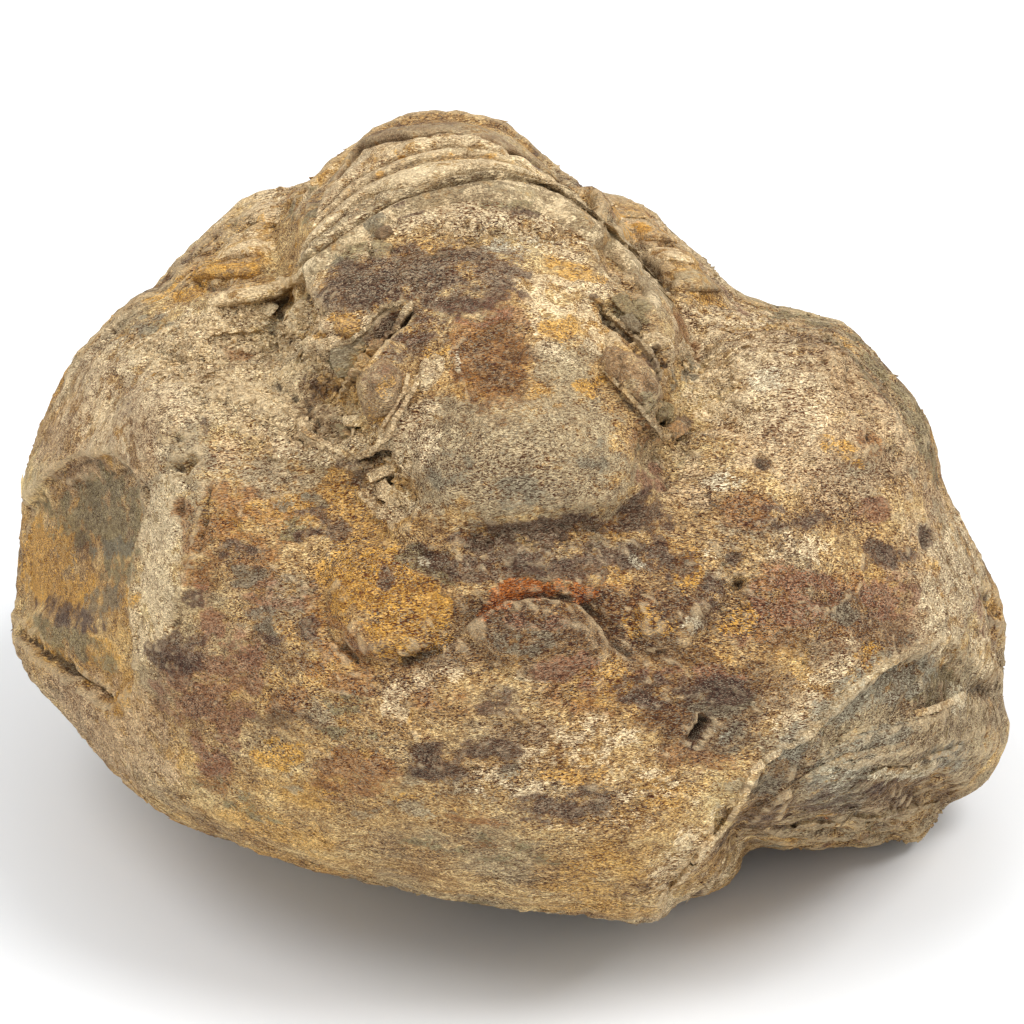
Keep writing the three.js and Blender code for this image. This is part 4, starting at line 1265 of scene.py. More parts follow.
def wearAndPaintedLightColour(tree, g, colour):
    # dirt and painted shade in the hollows, the dirt tone on the dark grains, sand and a painted highlight
    # on what stands out, and the pale grains
    hollowFine = readField(tree, "hollowFine")
    # the deeper a point lies in a fine or a broad hollow, the more dirt and painted shade it gets
    hollow = sums(tree, "MAXIMUM", spread(tree, hollowFine, 0.02, 0.13),
                  spread(tree, readField(tree, "hollowBroad"), 0.2, 0.9, 0, 0.8))
    hollow = sums(tree, "MULTIPLY", hollow, rockLook["dirtAndShade"])
    dark = sums(tree, "MAXIMUM", hollow, sums(tree, "MULTIPLY", g["Dark"], rockLook["darkGrains"]))
    colour = blend(tree, dark, colour, tones["dirtAndShade"])
    # raised points turn sand-coloured: partly worn sand, partly a painted highlight
    worn = spread(tree, hollowFine, -0.015, -0.08, 0, rockLook["sand"])
    colour = blend(tree, worn, colour, tones["sand"])
    return blend(tree, sums(tree, "MULTIPLY", g["Pale"], rockLook["paleGrains"]), colour, tones["fleck"])


def makeRock():
    m = bpy.data.materials.new("rock")
    m.use_nodes = True
    tree = m.node_tree
    shader = tree.nodes["Principled BSDF"]
    g = placeGrain(tree)
    value = sums(tree, "MULTIPLY", g["Patch"], rockLook["patches"])
    value = sums(tree, "MULTIPLY_ADD", g["Seed"], rockLook["grains"], value)
    value = sums(tree, "MULTIPLY_ADD", readField(tree, "value"), rockLook["mottles"], value)
    value = sums(tree, "MULTIPLY_ADD", readField(tree, "scab"), rockLook["scabs"], value)
    colour = stainedColour(tree, g, bareColour(tree, g, value))
    colour = wearAndPaintedLightColour(tree, g, shadedColour(tree, g, value, colour))
    tree.links.new(colour, shader.inputs["Base Color"])
    shader.inputs["Roughness"].default_value = rockLook["roughness"]
    shader.inputs["Specular IOR Level"].default_value = rockLook["specular"]
    bump = put(tree, "ShaderNodeBump", {"Strength": 1.0, "Distance": mm, "Height": g["Height"]})
    tree.links.new(bump.outputs[0], shader.inputs["Normal"])
    return m


rock = makeRock()
stone.data.materials.append(rock)
print("rock:", len(stainLook), "stains")


# Shells: the rings and ribs that the camera sees from the front, each overlapping the one below it, and
# broken shell that still stands on the stone, as plates lying on it, knobs and the edges of plates.
ringLines = [  # where each ring begins, the top one first, then the foot of the last
    [(314, 196), (337, 172), (347, 159), (362, 142), (378, 132), (391, 128), (413, 125), (440, 121),
     (457, 121), (477, 125), (499, 130), (515, 141), (530, 154), (545, 167)],
    [(308, 208), (321, 200), (336, 183), (348, 170), (358, 155), (366, 149), (380, 144), (400, 141),
     (422, 138), (444, 134), (470, 137), (495, 146), (510, 154), (530, 166), (550, 180), (570, 194),
     (586, 206)],
    [(302, 232), (312, 221), (322, 212), (337, 200), (347, 190), (362, 179), (382, 168), (400, 159),
     (422, 153), (444, 149), (475, 150), (500, 157), (525, 171), (548, 187), (570, 201), (590, 214)],
    [(298, 243), (308, 233), (319, 223), (340, 204), (356, 192), (378, 180), (400, 169), (422, 162),
     (444, 159), (480, 158), (510, 165), (535, 176), (560, 190), (582, 206), (599, 221)],
    [(290, 268), (298, 260), (310, 246), (325, 233), (340, 219), (347, 211), (357, 203), (368, 198),
     (385, 194), (413, 190), (440, 182), (470, 173), (500, 171), (530, 177), (556, 190), (582, 208),
     (603, 226)],
    [(284, 282), (300, 268), (320, 253), (340, 239), (360, 225), (380, 214), (396, 205), (416, 197),
     (450, 187), (480, 181), (510, 179), (540, 184), (565, 195), (590, 212), (610, 232), (635, 256),
     (660, 283), (678, 302)],
    [(292, 294), (312, 278), (332, 264), (352, 247), (374, 234), (400, 219), (430, 209), (470, 202),
     (510, 205), (545, 216), (575, 235), (600, 251), (625, 273), (645, 296), (657, 322), (664, 345)],
]

shells = {
    "rings": [  # height in mm, how crumbled, tones
        (0.35, 0.1, {"bark": 0.35, "drab": 0.8, "sand": 0.4}), (0.45, 0.6, {"sand": 0.9, "drab": 0.4}),
        (0.4, 0.0, {"drab": 0.9, "sand": 0.7, "amber": 0.2}), (0.45, 0.1, {"drab": 0.8, "sand": 0.8}),
        (0.45, 0.7, {"drab": 0.9, "sand": 0.3}), (0.45, 0.05, {"drab": 1.1, "sand": 0.4}),
    ],
    "ribs": [  # upper edge and lower edge in pixels, height, how crumbled, tones
        ([(604, 200), (625, 202), (645, 207), (663, 219)], [(606, 220), (628, 217), (650, 220), (670, 229)],
         0.35, 0.1, {"amber": 0.45, "sand": 0.5}),
        ([(606, 221), (628, 218), (650, 221), (672, 231)], [(622, 243), (650, 242), (680, 244), (702, 257)],
         0.35, 0.1, {"amber": 0.4, "sand": 0.6}),
        ([(626, 246), (652, 245), (682, 247), (704, 260)], [(641, 262), (665, 261), (695, 265), (720, 279)],
         0.35, 0.2, {"sand": 0.6}),
        ([(643, 265), (666, 264), (697, 268), (722, 282)], [(672, 292), (700, 292), (725, 292), (742, 298)],
         0.35, 0.3, {"drab": 0.6}),
        ([(300, 191), (275, 196), (252, 200), (240, 206)], [(292, 222), (270, 222), (246, 224), (223, 229)],
         0.35, 0.4, {"sand": 0.8}),
        ([(290, 226), (268, 226), (243, 229), (219, 234)], [(284, 252), (262, 257), (230, 259), (199, 263)],
         0.4, 0.3, {"sand": 0.6}),
        ([(282, 255), (260, 261), (228, 263), (197, 268)], [(276, 269), (250, 279), (210, 279), (172, 285)],
         0.4, 0.3, {"amber": 0.7}),
        ([(322, 258), (305, 270), (284, 279), (250, 285), (220, 291), (190, 300)],
         [(316, 272), (300, 284), (282, 292), (255, 304), (225, 307), (195, 309)], 0.5, 0.1, {"sand": 0.8}),
    ],
    "plates": [  # outline in pixels, lift and tilt in mm, which way it tilts in pixels, tones
        ([(333, 350), (350, 342), (362, 338), (367, 346), (362, 358), (352, 372), (341, 378), (335, 366)],
         0.35, 0.3, (-1, -0.6), {"olive": 1.0, "slate": 0.5}),
        ([(392, 330), (399, 318), (407, 306), (414, 303), (413, 312), (405, 322), (396, 334)],
         0.5, 0.3, (1, -0.5), {"sand": 0.8, "drab": 0.6}),
        ([(370, 474), (380, 467), (392, 462), (397, 469), (388, 478), (376, 483)], 0.35, 0.25, (0.3, 1),
         {"sand": 0.9}),
        ([(376, 485), (389, 481), (394, 490), (391, 504), (380, 500)], 0.3, 0.3, (1, 0.2), {"sand": 0.9}),
        ([(372, 250), (382, 243), (393, 247), (389, 257), (377, 261)], 0.25, 0.2, (0, 1), {"olive": 0.8}),
        ([(611, 300), (621, 296), (633, 306), (641, 316), (632, 321), (619, 311)], 0.3, 0.2, (1, 1),
         {"olive": 1.2, "bark": 1.2}),
        ([(621, 319), (634, 316), (643, 326), (639, 335), (626, 328)], 0.3, 0.2, (1, 0.4),
         {"slate": 1.2, "bark": 1.2}),
        ([(640, 337), (655, 334), (667, 341), (660, 350), (648, 346)], 0.3, 0.2, (0, -1), {"sand": 0.8}),
        ([(258, 306), (268, 303), (275, 310), (270, 318), (262, 314)], 0.3, 0.2, (1, 1), {"drab": 0.8}),
        ([(350, 418), (358, 414), (366, 419), (362, 428), (352, 427)], 0.35, 0.2, (0, 1), {"sand": 0.6}),
        ([(338, 430), (347, 426), (352, 434), (343, 440)], 0.3, 0.2, (0, 1), {"olive": 0.6}),
        ([(664, 428), (675, 422), (684, 432), (676, 440), (666, 438)], 0.3, 0.2, (0, 1), {"rust": 0.8}),
    ],
    "knobs": [  # middle, half sizes in pixels, turn, height in mm, how rough, tones
        ((381, 390), (20, 30), 24, 0.8, 1.6, {"sand": 0.7, "rust": 0.5, "bark": 0.5}),
        ((630, 374), (17, 36), -46, 0.5, 1.5, {"peach": 0.7, "rust": 0.6, "bark": 0.4}),
        ((661, 411), (9, 11), 0, 0.6, 0.6, {"olive": 1.0}),
        ((384, 233), (9, 6), -14, 0.3, 0.2, {"umber": 2.5}),
        ((347, 327), (13, 9), 20, 0.3, 1.0, {"amber": 1.3}),
        ((430, 372), (12, 18), 35, 0.3, 1.6, {"sand": 1.2}),
    ],
    "edges": [  # path in pixels, height and thickness in mm, tones
        ([(668, 894), (684, 872), (700, 852), (722, 826), (740, 800), (754, 770), (766, 758), (784, 750)],
         0.3, 0.35,
         {"sand": 0.7}),
        ([(784, 749), (808, 735), (826, 716), (846, 694), (864, 680), (884, 666), (915, 648), (940, 642)],
         0.25, 0.3,
         {"drab": 0.8, "sand": 0.5}),
        ([(800, 781), (820, 768), (850, 756), (880, 750), (905, 745)], 0.15, 0.3, {"drab": 0.8}),
        ([(868, 778), (880, 770), (905, 768), (918, 762)], 0.25, 0.35, {"cream": 0.5, "sand": 0.6}),
        ([(925, 757), (945, 752), (962, 745)], 0.2, 0.3, {"sand": 0.6}),
        ([(785, 826), (812, 822), (835, 823)], 0.25, 0.3, {"drab": 0.8}),
        ([(850, 818), (880, 816), (906, 809), (940, 803)], 0.25, 0.3, {"drab": 0.8}),
        ([(915, 714), (935, 709), (950, 702), (966, 694)], 0.25, 0.35, {"sand": 0.7}),
        ([(838, 741), (860, 730), (878, 727)], 0.15, 0.3, {"drab": 0.7}),
        ([(334, 352), (345, 344), (358, 338), (367, 330), (374, 318), (386, 308), (402, 302)], 0.5, 0.22,
         {"drab": 0.8}),
        ([(413, 304), (404, 318), (392, 332), (380, 346), (368, 360), (358, 375), (348, 390), (339, 399)],
         0.6, 0.2, {"drab": 0.6, "rust": 0.3}),
        ([(417, 382), (407, 398), (397, 418), (388, 438), (372, 449), (356, 457)], 0.4, 0.22, {"sand": 0.8}),
        ([(408, 374), (403, 392), (393, 412), (382, 432)], 0.3, 0.18, {"sand": 0.7}),
        ([(598, 308), (611, 319), (624, 328), (636, 340), (645, 351), (653, 364), (659, 380)], 0.4, 0.2,
         {"drab": 0.8}),
        ([(600, 366), (612, 379), (626, 392), (640, 408), (651, 424), (662, 437)], 0.35, 0.2, {"drab": 0.7}),
        ([(590, 297), (598, 302), (604, 312)], 0.4, 0.2, {"umber": 0.6}),
        ([(300, 428), (318, 440), (336, 450), (352, 458)], 0.35, 0.25, {"sand": 0.8}),
        ([(205, 337), (225, 331), (246, 332), (262, 328)], 0.25, 0.25, {"sand": 0.7}),
        ([(276, 280), (290, 281), (300, 276), (306, 268)], 0.35, 0.25, {"sand": 0.7}),
    ],
}

shellBuild = {
    "sunk": 0.4,  # how far the foot of an edge goes into the stone, mm
    "edgeStep": 2.4,  # pixels
    "plateStep": 2.6,
    "bandStep": 2.5,
    "bandEnds": 14,  # sections over which a band's ends sink into the stone
    "knobSides": 48,
    "knobRings": (1.12, 1.04, 0.98, 0.9, 0.8, 0.68, 0.55, 0.42, 0.3, 0.18, 0.08),
}


class Heap:
    # points and faces of the pieces that stand on the stone, and what each point takes from it
    def __init__(self, skin):
        self.tree = BVHTree.FromPolygons(skin.points.tolist(), skin.quads.tolist())
        self.normals = skin.relaxed(skin.normals(), 6)
        self.corners = skin.quads[:, 0]
        self.points, self.faces, self.source = [], [], []
        self.tints, self.worn, self.broken = [], [], []

    def cast(self, pixels):
        # the places on the stone behind pixels of the picture, and the stone's own point by each
        found, hit, depth = [], [], camera["distance"]
        for x, y in pixels:
            slope = (x - camera["side"] / 2) * right - (y - camera["side"] / 2) * up
            ray = ahead + slope / pixelsPerSlope
            place, _, face, _ = self.tree.ray_cast(Vector(eye), Vector(ray))
            if place is None:
                place, _, face, _ = self.tree.find_nearest(Vector(eye + ray * depth))
            depth = (np.array(place) - eye) @ ahead
            found.append(np.array(place))
            hit.append(face)
        return np.array(found), self.corners[hit]

    def outward(self, corner, turned):
        # away from the stone, turned a little towards the camera
        n = self.normals[corner].mean(0) - turned * ahead
        return n / np.linalg.norm(n)

    def add(self, rows, corners, tones, closed=True, worn=None, broken=0.3):
        # joins rows of points into a skin
        start, count = len(self.points), len(rows[0])
        for row, corner in zip(rows, corners):
            self.points.extend(row)
            self.source.extend(corner)
            self.tints.extend([tones] * count)
            # unless given, a shell's points count as a little raised: sand colour with a painted highlight
            self.worn.extend(worn or [-0.04] * count)
            self.broken.extend([broken] * count)
        for r in range(len(rows) - 1):
            for i in range(count if closed else count - 1):
                a = start + r * count + i
                b = start + r * count + (i + 1) % count
                self.faces.append((a, b, b + count, a + count))
        return start

    def cap(self, start, count, rows):
        # a face over the last row and one over the first
        self.faces.append(tuple(range(start + (rows - 1) * count, start + rows * count)))
        self.faces.append(tuple(range(start + count - 1, start - 1, -1)))


def resampled(path, step, ragged, seed, closed=False):
    corners, walk = paced(path, closed)
    count = max(int(walk[-1] / step), 4)
    spots = pointsAt(np.linspace(0, walk[-1], count + 1)[:count if closed else count + 1], corners, walk)
    draw = np.random.default_rng(seed)
    return spots + np.stack([draw.uniform(-ragged, ragged, len(spots)) for _ in (0, 1)], axis=1)


def stations(path, count):
    corners, walk = paced(path)
    smooth = pointsAt(np.linspace(0, walk[-1], count), corners, walk)
    smooth[1:-1] = (smooth[:-2] + 2 * smooth[1:-1] + smooth[2:]) / 4
    return smooth


def addPlates(heap):
    # a sheet that stands up from the stone along one side
    for number, (rim, lift, tilt, way, tones) in enumerate(shells["plates"]):
        spots = resampled(rim, shellBuild["plateStep"], 0.7, number, closed=True)
        places, corner = heap.cast(spots)
        outward = heap.outward(corner, 0.4)
        flat = places - np.outer((places - places.mean(0)) @ outward, outward)
        reach = (spots - spots.mean(0)) @ np.array(way)
        bend = np.outer(tilt * reach / np.abs(reach).max(), outward)
        top = flat + lift * outward + bend
        inner = top.mean(0) + (top - top.mean(0)) * 0.75 + 0.05 * outward
        rows = [top - 0.5 * outward - 0.5 * bend, top - 0.04 * outward, top, inner]
        heap.cap(heap.add(rows, [corner] * len(rows), tones), len(top), len(rows))


def addKnobs(heap):
    # domes made of rings of points, their feet sunk into the stone
    reach = np.array(shellBuild["knobRings"])
    angle = np.linspace(0, 2 * math.pi, shellBuild["knobSides"], endpoint=False)
    for number, (at, size, turn, height, rough, tones) in enumerate(shells["knobs"]):
        uneven = 1 + 0.07 * np.sin(2 * angle + number) + 0.05 * np.sin(5 * angle + 2 * number)
        across = (reach[:, None] * np.cos(angle) * uneven * size[0]).ravel()
        down = (reach[:, None] * np.sin(angle) * uneven * size[1]).ravel()
        cosine, sine = math.cos(math.radians(turn)), math.sin(math.radians(turn))
        spots = np.stack([at[0] + across * cosine - down * sine, at[1] + across * sine + down * cosine], 1)
        places, corner = heap.cast(spots)
        # above its foot a knob is no deeper than it is wide
        deep = (places - places.mean(0)) @ ahead
        most = 1.2 * max(size) * camera["pixel"]
        above = np.repeat(reach < 1.0, len(angle))
        places = places + np.outer((most * np.tanh(deep / most) - deep) * above, ahead)
        dome = np.sqrt(np.clip(1 - (reach / 1.06) ** 2, 0, 1)) - 0.35 * (reach > 1)
        grit = 0.04 * wave(places, 0.6, 400 + number, 2)
        grit += rough * 0.22 * (clods(places, 0.55, 410 + number) - 0.4)
        domed = places + np.outer(height * np.repeat(dome, len(angle)) + grit, heap.outward(corner, 0.3))
        rows = domed.reshape(len(reach), -1, 3)
        start = heap.add(rows, corner.reshape(len(reach), -1), tones, broken=rough)
        heap.cap(start, len(angle), len(rows))


bandAcross = np.concatenate([np.linspace(0, 0.9, 9), [0.97, 1.0]])
bandStops = [0, 0.15, 0.4, 0.75, 0.9, 0.97, 1.0]
bandShape = [-0.25, 0.25, 0.7, 1.0, 1.0, 0.85, 0.5]  # height at each stop, a share of the band's own
lastShape = [-0.25, 0.45, 0.9, 0.6, 0.25, 0.0, -0.3]
# how deep in a hollow each row across a band counts: dirt and a painted shadow along the tucked upper edge
# and the foot, sand and a painted highlight on the raised part
bandWearAndPaintedLight = [0.1, 0.04, 0, 0, 0, -0.01, -0.02, -0.03, -0.04, -0.03, 0.05, 0.1, 0.1]


def addBands(heap):
    # a band is raised along its lower edge and tucked in along its upper one
    bands = [(a, b, *look) for a, b, look in zip(ringLines, ringLines[1:], shells["rings"])]
    for number, (upper, lower, height, rough, tones) in enumerate(bands + shells["ribs"]):
        count = 1 + max(int(paced(line)[1][-1] / shellBuild["bandStep"]) for line in (upper, lower))
        top, foot = (stations(line, count) for line in (upper, lower))
        grid = top[:, None] + (foot - top)[:, None] * bandAcross[None, :, None]
        places, corner = heap.cast(grid.reshape(-1, 2))
        outward = heap.normals[corner].reshape(grid.shape[0], -1, 3)
        places = places.reshape(grid.shape[0], -1, 3)
        for _ in range(5):
            places[1:-1] = (places[:-2] + 2 * places[1:-1] + places[2:]) / 4
            places[:, 1:-1] = (places[:, :-2] + 2 * places[:, 1:-1] + places[:, 2:]) / 4
        flat = places.reshape(-1, 3)
        grit = 0.05 * wave(flat, 0.7, 200 + number, 2) + rough * 0.3 * (clods(flat, 0.6, number) - 0.35)
        profile = np.interp(bandAcross, bandStops, lastShape if lower is ringLines[-1] else bandShape)
        # lower where the camera sees it edge on, and sunk into the stone at both ends
        facing = -(outward @ ahead).mean(1, keepdims=True)
        uneven = 1 + 0.25 * wave(flat, 3.0, 300).reshape(count, -1)
        tall = height * np.clip(facing / 0.35, 0.35, 1) * profile[None] * uneven + grit.reshape(count, -1)
        place = np.arange(count)
        middle = ease(np.minimum(place, place[::-1]) / shellBuild["bandEnds"])[:, None]
        raised = places + outward * (tall * middle - 0.3 * (1 - middle))[..., None]
        sunk = places[:, [-1, 0]] - 0.6 * outward[:, [-1, 0]]
        rows = np.concatenate([raised, sunk], axis=1)
        each = corner.reshape(count, -1)
        each = np.concatenate([each, each[:, [-1, 0]]], axis=1)
        start = heap.add(rows, each, tones, worn=bandWearAndPaintedLight, broken=rough)
        heap.cap(start, rows.shape[1], count)


def addEdges(heap):
    # thin walls of shell that stand on the stone
    for number, (path, height, thickness, tones) in enumerate(shells["edges"]):
        places, corner = heap.cast(resampled(path, shellBuild["edgeStep"], 0.8, 50 + number))
        outward = heap.normals[corner] - 0.5 * ahead
        outward /= np.linalg.norm(outward, axis=1)[:, None]
        side = np.cross(np.gradient(places, axis=0), outward)
        side *= 0.5 * thickness / np.linalg.norm(side, axis=1)[:, None]
        draw = np.random.default_rng(80 + number)
        t = np.linspace(0, 1, len(places))
        tall = height * ease(np.minimum(t, 1 - t) * 6 + 0.2) * draw.uniform(0.55, 1.0, len(t))
        top = places + outward * tall[:, None]
        foot = places - shellBuild["sunk"] * outward
        rows = [foot + side, top + side, top - side, foot - side]
        count = len(t)
        start = heap.add(rows, [corner] * len(rows), tones, closed=False)
        for i in (0, count - 1):
            ends = tuple(start + k * count + i for k in range(len(rows)))
            heap.faces.append(ends if i else ends[::-1])
        for i in range(count - 1):
            a, b = start + i, start + (len(rows) - 1) * count + i
            heap.faces.append((b, b + 1, a + 1, a))


def makeShells(skin, attributes):
    heap = Heap(skin)
    addPlates(heap)
    addKnobs(heap)
    addBands(heap)
    addEdges(heap)
    values = {name: field[heap.source] for name, field in attributes.items()}
    for tone in stains:
        values[tone] = np.array([max(t.get(tone, 0), 0.5 * v) for t, v in zip(heap.tints, values[tone])])
    # the shells get less of the stone's painted shade from broad hollows, and their own painted shade and
    # highlight from the heap
    values["hollowBroad"] *= 0.3
    values["hollowFine"] = np.array(heap.worn)
    values["value"] += 0.3
    values["crumble"] = np.array(heap.broken)
    values["grain"] = 0.5 * values["grain"] + 0.4 * values["crumble"]
    values["layer"] = bedding(np.array(heap.points))[:, 2]
    shell = makeMesh("shells", heap.points, heap.faces, values, False)
    b = bmesh.new()
    b.from_mesh(shell.data)
    bmesh.ops.recalc_face_normals(b, faces=b.faces)
    bmesh.ops.triangulate(b, faces=b.faces)
    b.to_mesh(shell.data)
    b.free()
    return shell


shell = makeShells(skin, attributes)
shell.data.materials.append(rock)
print("shells:", len(shell.data.polygons), "triangles")


# Loose crumbs, sand grains and slivers stuck to the stone, scattered by Geometry Nodes.
crumbs = {
    "crumbs": {
        "Density": 14.0,  # to a square mm where the stone is fully crumbled
        "Smallest": 0.18,  # mm across
        "Largest": 0.7,
        "Tilt": 25.0,  # degrees
        "Spin": 180.0,  # degrees either side of the way the stone's fibres run
        "Shade": 0.8,  # how much one crumb's tone may differ from its neighbour's
        "Seed": 4,
    },
    "sand": {
        "Density": 3.2,
        "Smallest": 0.1,
        "Largest": 0.22,
        "Tilt": 60.0,
        "Spin": 180.0,
        "Shade": 1.3,
        "Seed": 9,
    },
    "slivers": {
        "Density": 9.0,
        "Smallest": 0.4,
        "Largest": 1.6,
        "Tilt": 2.0,
        "Spin": 14.0,
        "Shade": 1.2,
        "Seed": 6,
    },
}
crumbShapes = {  # fewest and most corners, then half the length, width and height of a shape one unit long
    "crumbs": ((7, 9), (0.5, 0.42, 0.34)),
    "sand": ((5, 6), (0.5, 0.42, 0.34)),
    "slivers": ((6, 7), (0.5, 0.06, 0.05)),
}


def makeShapes(name, corners, size):
    # angular chips one unit across, a little flat, each the hull of a few points
    store = bpy.data.collections.new(name + "Shapes")
    draw = np.random.default_rng(17)
    for number in range(8):
        b = bmesh.new()
        count = int(draw.integers(corners[0], corners[1] + 1))
        for spot in draw.normal(size=(count, 3)):
            b.verts.new(spot / np.linalg.norm(spot) * size)
        hull = bmesh.ops.convex_hull(b, input=b.verts)
        inside = {g for g in hull["geom_interior"] if isinstance(g, bmesh.types.BMVert)}
        bmesh.ops.delete(b, geom=list(inside))
        bmesh.ops.recalc_face_normals(b, faces=b.faces)
        mesh = bpy.data.meshes.new(f"{name}Shape{number}")
        b.to_mesh(mesh)
        b.free()
        store.objects.link(bpy.data.objects.new(mesh.name, mesh))
    return store


def named(tree, name, kind="FLOAT"):
    return put(tree, "GeometryNodeInputNamedAttribute", {"Name": name}, data_type=kind).outputs[0]


def makeScatterTree():
    tree = bpy.data.node_groups.new("scatter", "GeometryNodeTree")
    sockets = {"Geometry": "Geometry", "Density": "Float", "Where": "String", "Smallest": "Float",
               "Largest": "Float", "Tilt": "Float", "Spin": "Float", "Shade": "Float", "Seed": "Int",
               "Shapes": "Collection", "Material": "Material"}
    for label, kind in sockets.items():
        tree.interface.new_socket(label, in_out="INPUT", socket_type="NodeSocket" + kind)
    tree.interface.new_socket("Geometry", in_out="OUTPUT", socket_type="NodeSocketGeometry")
    given = tree.nodes.new("NodeGroupInput").outputs
    where = named(tree, given["Where"])
    spots = put(tree, "GeometryNodeDistributePointsOnFaces", {
        "Mesh": given["Geometry"], "Density": sums(tree, "MULTIPLY", where, given["Density"]),
        "Seed": given["Seed"]})
    # each piece takes the stone's tone under it, a little paler or darker
    random = put(tree, "FunctionNodeRandomValue", {
        2: -0.5, 3: 0.5, "Seed": given["Seed"]}, data_type="FLOAT")
    toned = put(tree, "GeometryNodeStoreNamedAttribute", {
        "Geometry": spots.outputs["Points"], "Name": "value",
        "Value": sums(tree, "MULTIPLY_ADD", random.outputs[1], given["Shade"], named(tree, "value"))})
    # the pieces take less of the hollows' dirt and painted shade, and count as a little raised, so they get
    # sand colour with a painted highlight
    kept = (("hollowFine", 0.3, -0.03), ("hollowBroad", 0.6, 0.0), ("grain", 0.4, 0.05))
    for label, share, extra in kept:
        toned = put(tree, "GeometryNodeStoreNamedAttribute", {
            "Geometry": toned.outputs[0], "Name": label,
            "Value": sums(tree, "MULTIPLY_ADD", named(tree, label), share, extra)})
    # many small pieces and few large ones
    index = put(tree, "GeometryNodeInputIndex").outputs[0]
    draw = put(tree, "FunctionNodeRandomValue", {"ID": index, "Seed": given["Seed"]}, data_type="FLOAT")
    size = sums(tree, "MULTIPLY_ADD", sums(tree, "POWER", draw.outputs[1], 3.0),
                sums(tree, "SUBTRACT", given["Largest"], given["Smallest"]), given["Smallest"])
    # turned along the stone's fibres, then leaned and spun
    lean = sums(tree, "RADIANS", given["Tilt"])
    back = sums(tree, "MULTIPLY", lean, -1.0)
    spin = sums(tree, "RADIANS", given["Spin"])
    unspin = sums(tree, "MULTIPLY", spin, -1.0)
    low = put(tree, "ShaderNodeCombineXYZ", {0: back, 1: back, 2: unspin}).outputs[0]
    high = put(tree, "ShaderNodeCombineXYZ", {0: lean, 1: lean, 2: spin}).outputs[0]
    aimed = put(tree, "FunctionNodeAlignRotationToVector", {
        "Rotation": spots.outputs["Rotation"], "Vector": named(tree, "way", "FLOAT_VECTOR")},
        axis="X", pivot_axis="Z")
    turn = put(tree, "FunctionNodeRandomValue", {0: low, 1: high}, data_type="FLOAT_VECTOR").outputs[0]
    leaned = put(tree, "FunctionNodeEulerToRotation", {0: turn})
    turned = put(tree, "FunctionNodeRotateRotation", {
        "Rotation": aimed.outputs[0], "Rotate By": leaned.outputs[0]}, rotation_space="LOCAL")
    shapes = put(tree, "GeometryNodeCollectionInfo", {
        "Collection": given["Shapes"], "Separate Children": True, "Reset Children": True})
    placed = put(tree, "GeometryNodeInstanceOnPoints", {
        "Points": toned.outputs[0], "Instance": shapes.outputs[0], "Pick Instance": True,
        "Rotation": turned.outputs[0], "Scale": size})
    real = put(tree, "GeometryNodeRealizeInstances", {"Geometry": placed.outputs[0]})
    position = put(tree, "GeometryNodeInputPosition").outputs[0]
    height = put(tree, "ShaderNodeSeparateXYZ", {0: position}).outputs[2]
    layered = put(tree, "GeometryNodeStoreNamedAttribute", {
        "Geometry": real.outputs[0], "Name": "layer", "Value": sums(tree, "MULTIPLY", height, 1.5 / mm)})
    painted = put(tree, "GeometryNodeSetMaterial", {
        "Geometry": layered.outputs[0], "Material": given["Material"]})
    out = tree.nodes.new("NodeGroupOutput")
    tree.links.new(painted.outputs[0], out.inputs[0])
    return tree


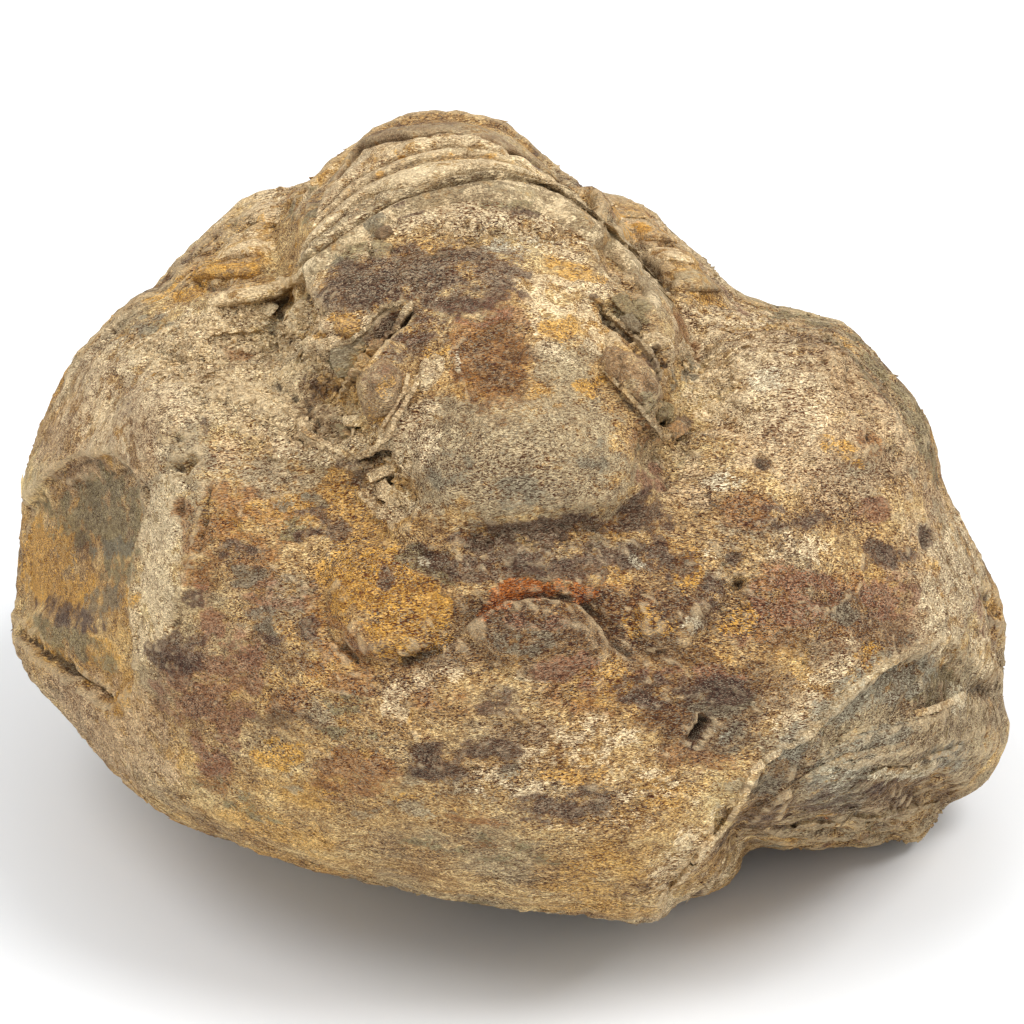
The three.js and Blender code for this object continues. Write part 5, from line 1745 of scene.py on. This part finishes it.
def makeCrumbs(name, tree, shapes, material):
    look = crumbs[name]
    o = bpy.data.objects.new(name, stone.data)
    bpy.context.scene.collection.objects.link(o)
    scatter = o.modifiers.new("scatter", "NODES")
    scatter.node_group = tree
    values = {**look, "Density": look["Density"] / mm ** 2, "Smallest": look["Smallest"] * mm,
              "Largest": look["Largest"] * mm, "Where": name + "Where", "Shapes": shapes,
              "Material": material}
    for item in tree.interface.items_tree:
        if item.name in values and item.in_out == "INPUT":
            scatter[item.identifier] = values[item.name]
    mesh = bpy.data.meshes.new_from_object(o.evaluated_get(bpy.context.evaluated_depsgraph_get()))
    o.modifiers.remove(scatter)
    o.data = mesh
    mesh.name = name
    mesh.calc_loop_triangles()
    print(name + ":", len(mesh.loop_triangles), "triangles")
    return o


scatterTree = makeScatterTree()
pieces = [stone, shell]
for name in crumbs:
    shapes = makeShapes(name, *crumbShapes[name])
    pieces.append(makeCrumbs(name, scatterTree, shapes, rock))
    for shape in list(shapes.objects):
        bpy.data.meshes.remove(shape.data)
    bpy.data.collections.remove(shapes)
bpy.data.node_groups.remove(scatterTree)


studio = {
    "floorHalf": 3.0,  # m
    "floorColour": (0.86, 0.88, 0.9, 1),
    "skyStrength": 0.85,
    "suns": {  # strength, how wide the light is in degrees, where it shines
        "key": (1.7, 28, (-0.55, 0.35, -1.0)),
        "fill": (0.9, 28, (0.5, 0.4, -1.0)),
    },
}


def makeFloor():
    half = studio["floorHalf"]
    mesh = bpy.data.meshes.new("floor")
    corners = [(-half, -half, 0), (half, -half, 0), (half, half, 0), (-half, half, 0)]
    mesh.from_pydata(corners, [], [(0, 1, 2, 3)])
    o = bpy.data.objects.new("floor", mesh)
    bpy.context.scene.collection.objects.link(o)
    floorPaint = bpy.data.materials.new("floorPaint")
    floorPaint.use_nodes = True
    shader = floorPaint.node_tree.nodes["Principled BSDF"]
    shader.inputs["Base Color"].default_value = studio["floorColour"]
    shader.inputs["Roughness"].default_value = 0.9
    mesh.materials.append(floorPaint)


def makeLight():
    world = bpy.data.worlds.new("studio")
    bpy.context.scene.world = world
    world.use_nodes = True
    background = world.node_tree.nodes["Background"]
    background.inputs["Color"].default_value = (1, 1, 1, 1)
    background.inputs["Strength"].default_value = studio["skyStrength"]
    for name, (strength, wide, towards) in studio["suns"].items():
        lamp = bpy.data.lights.new(name, "SUN")
        lamp.energy = strength
        lamp.angle = math.radians(wide)
        o = bpy.data.objects.new(name, lamp)
        o.rotation_euler = Vector(towards).to_track_quat("-Z", "Y").to_euler()
        bpy.context.scene.collection.objects.link(o)


makeFloor()
makeLight()
bpy.context.scene.view_settings.view_transform = "Standard"

for piece in pieces:
    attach(piece, "root")
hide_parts("fossil_stone")
print("pieces:", len(pieces))
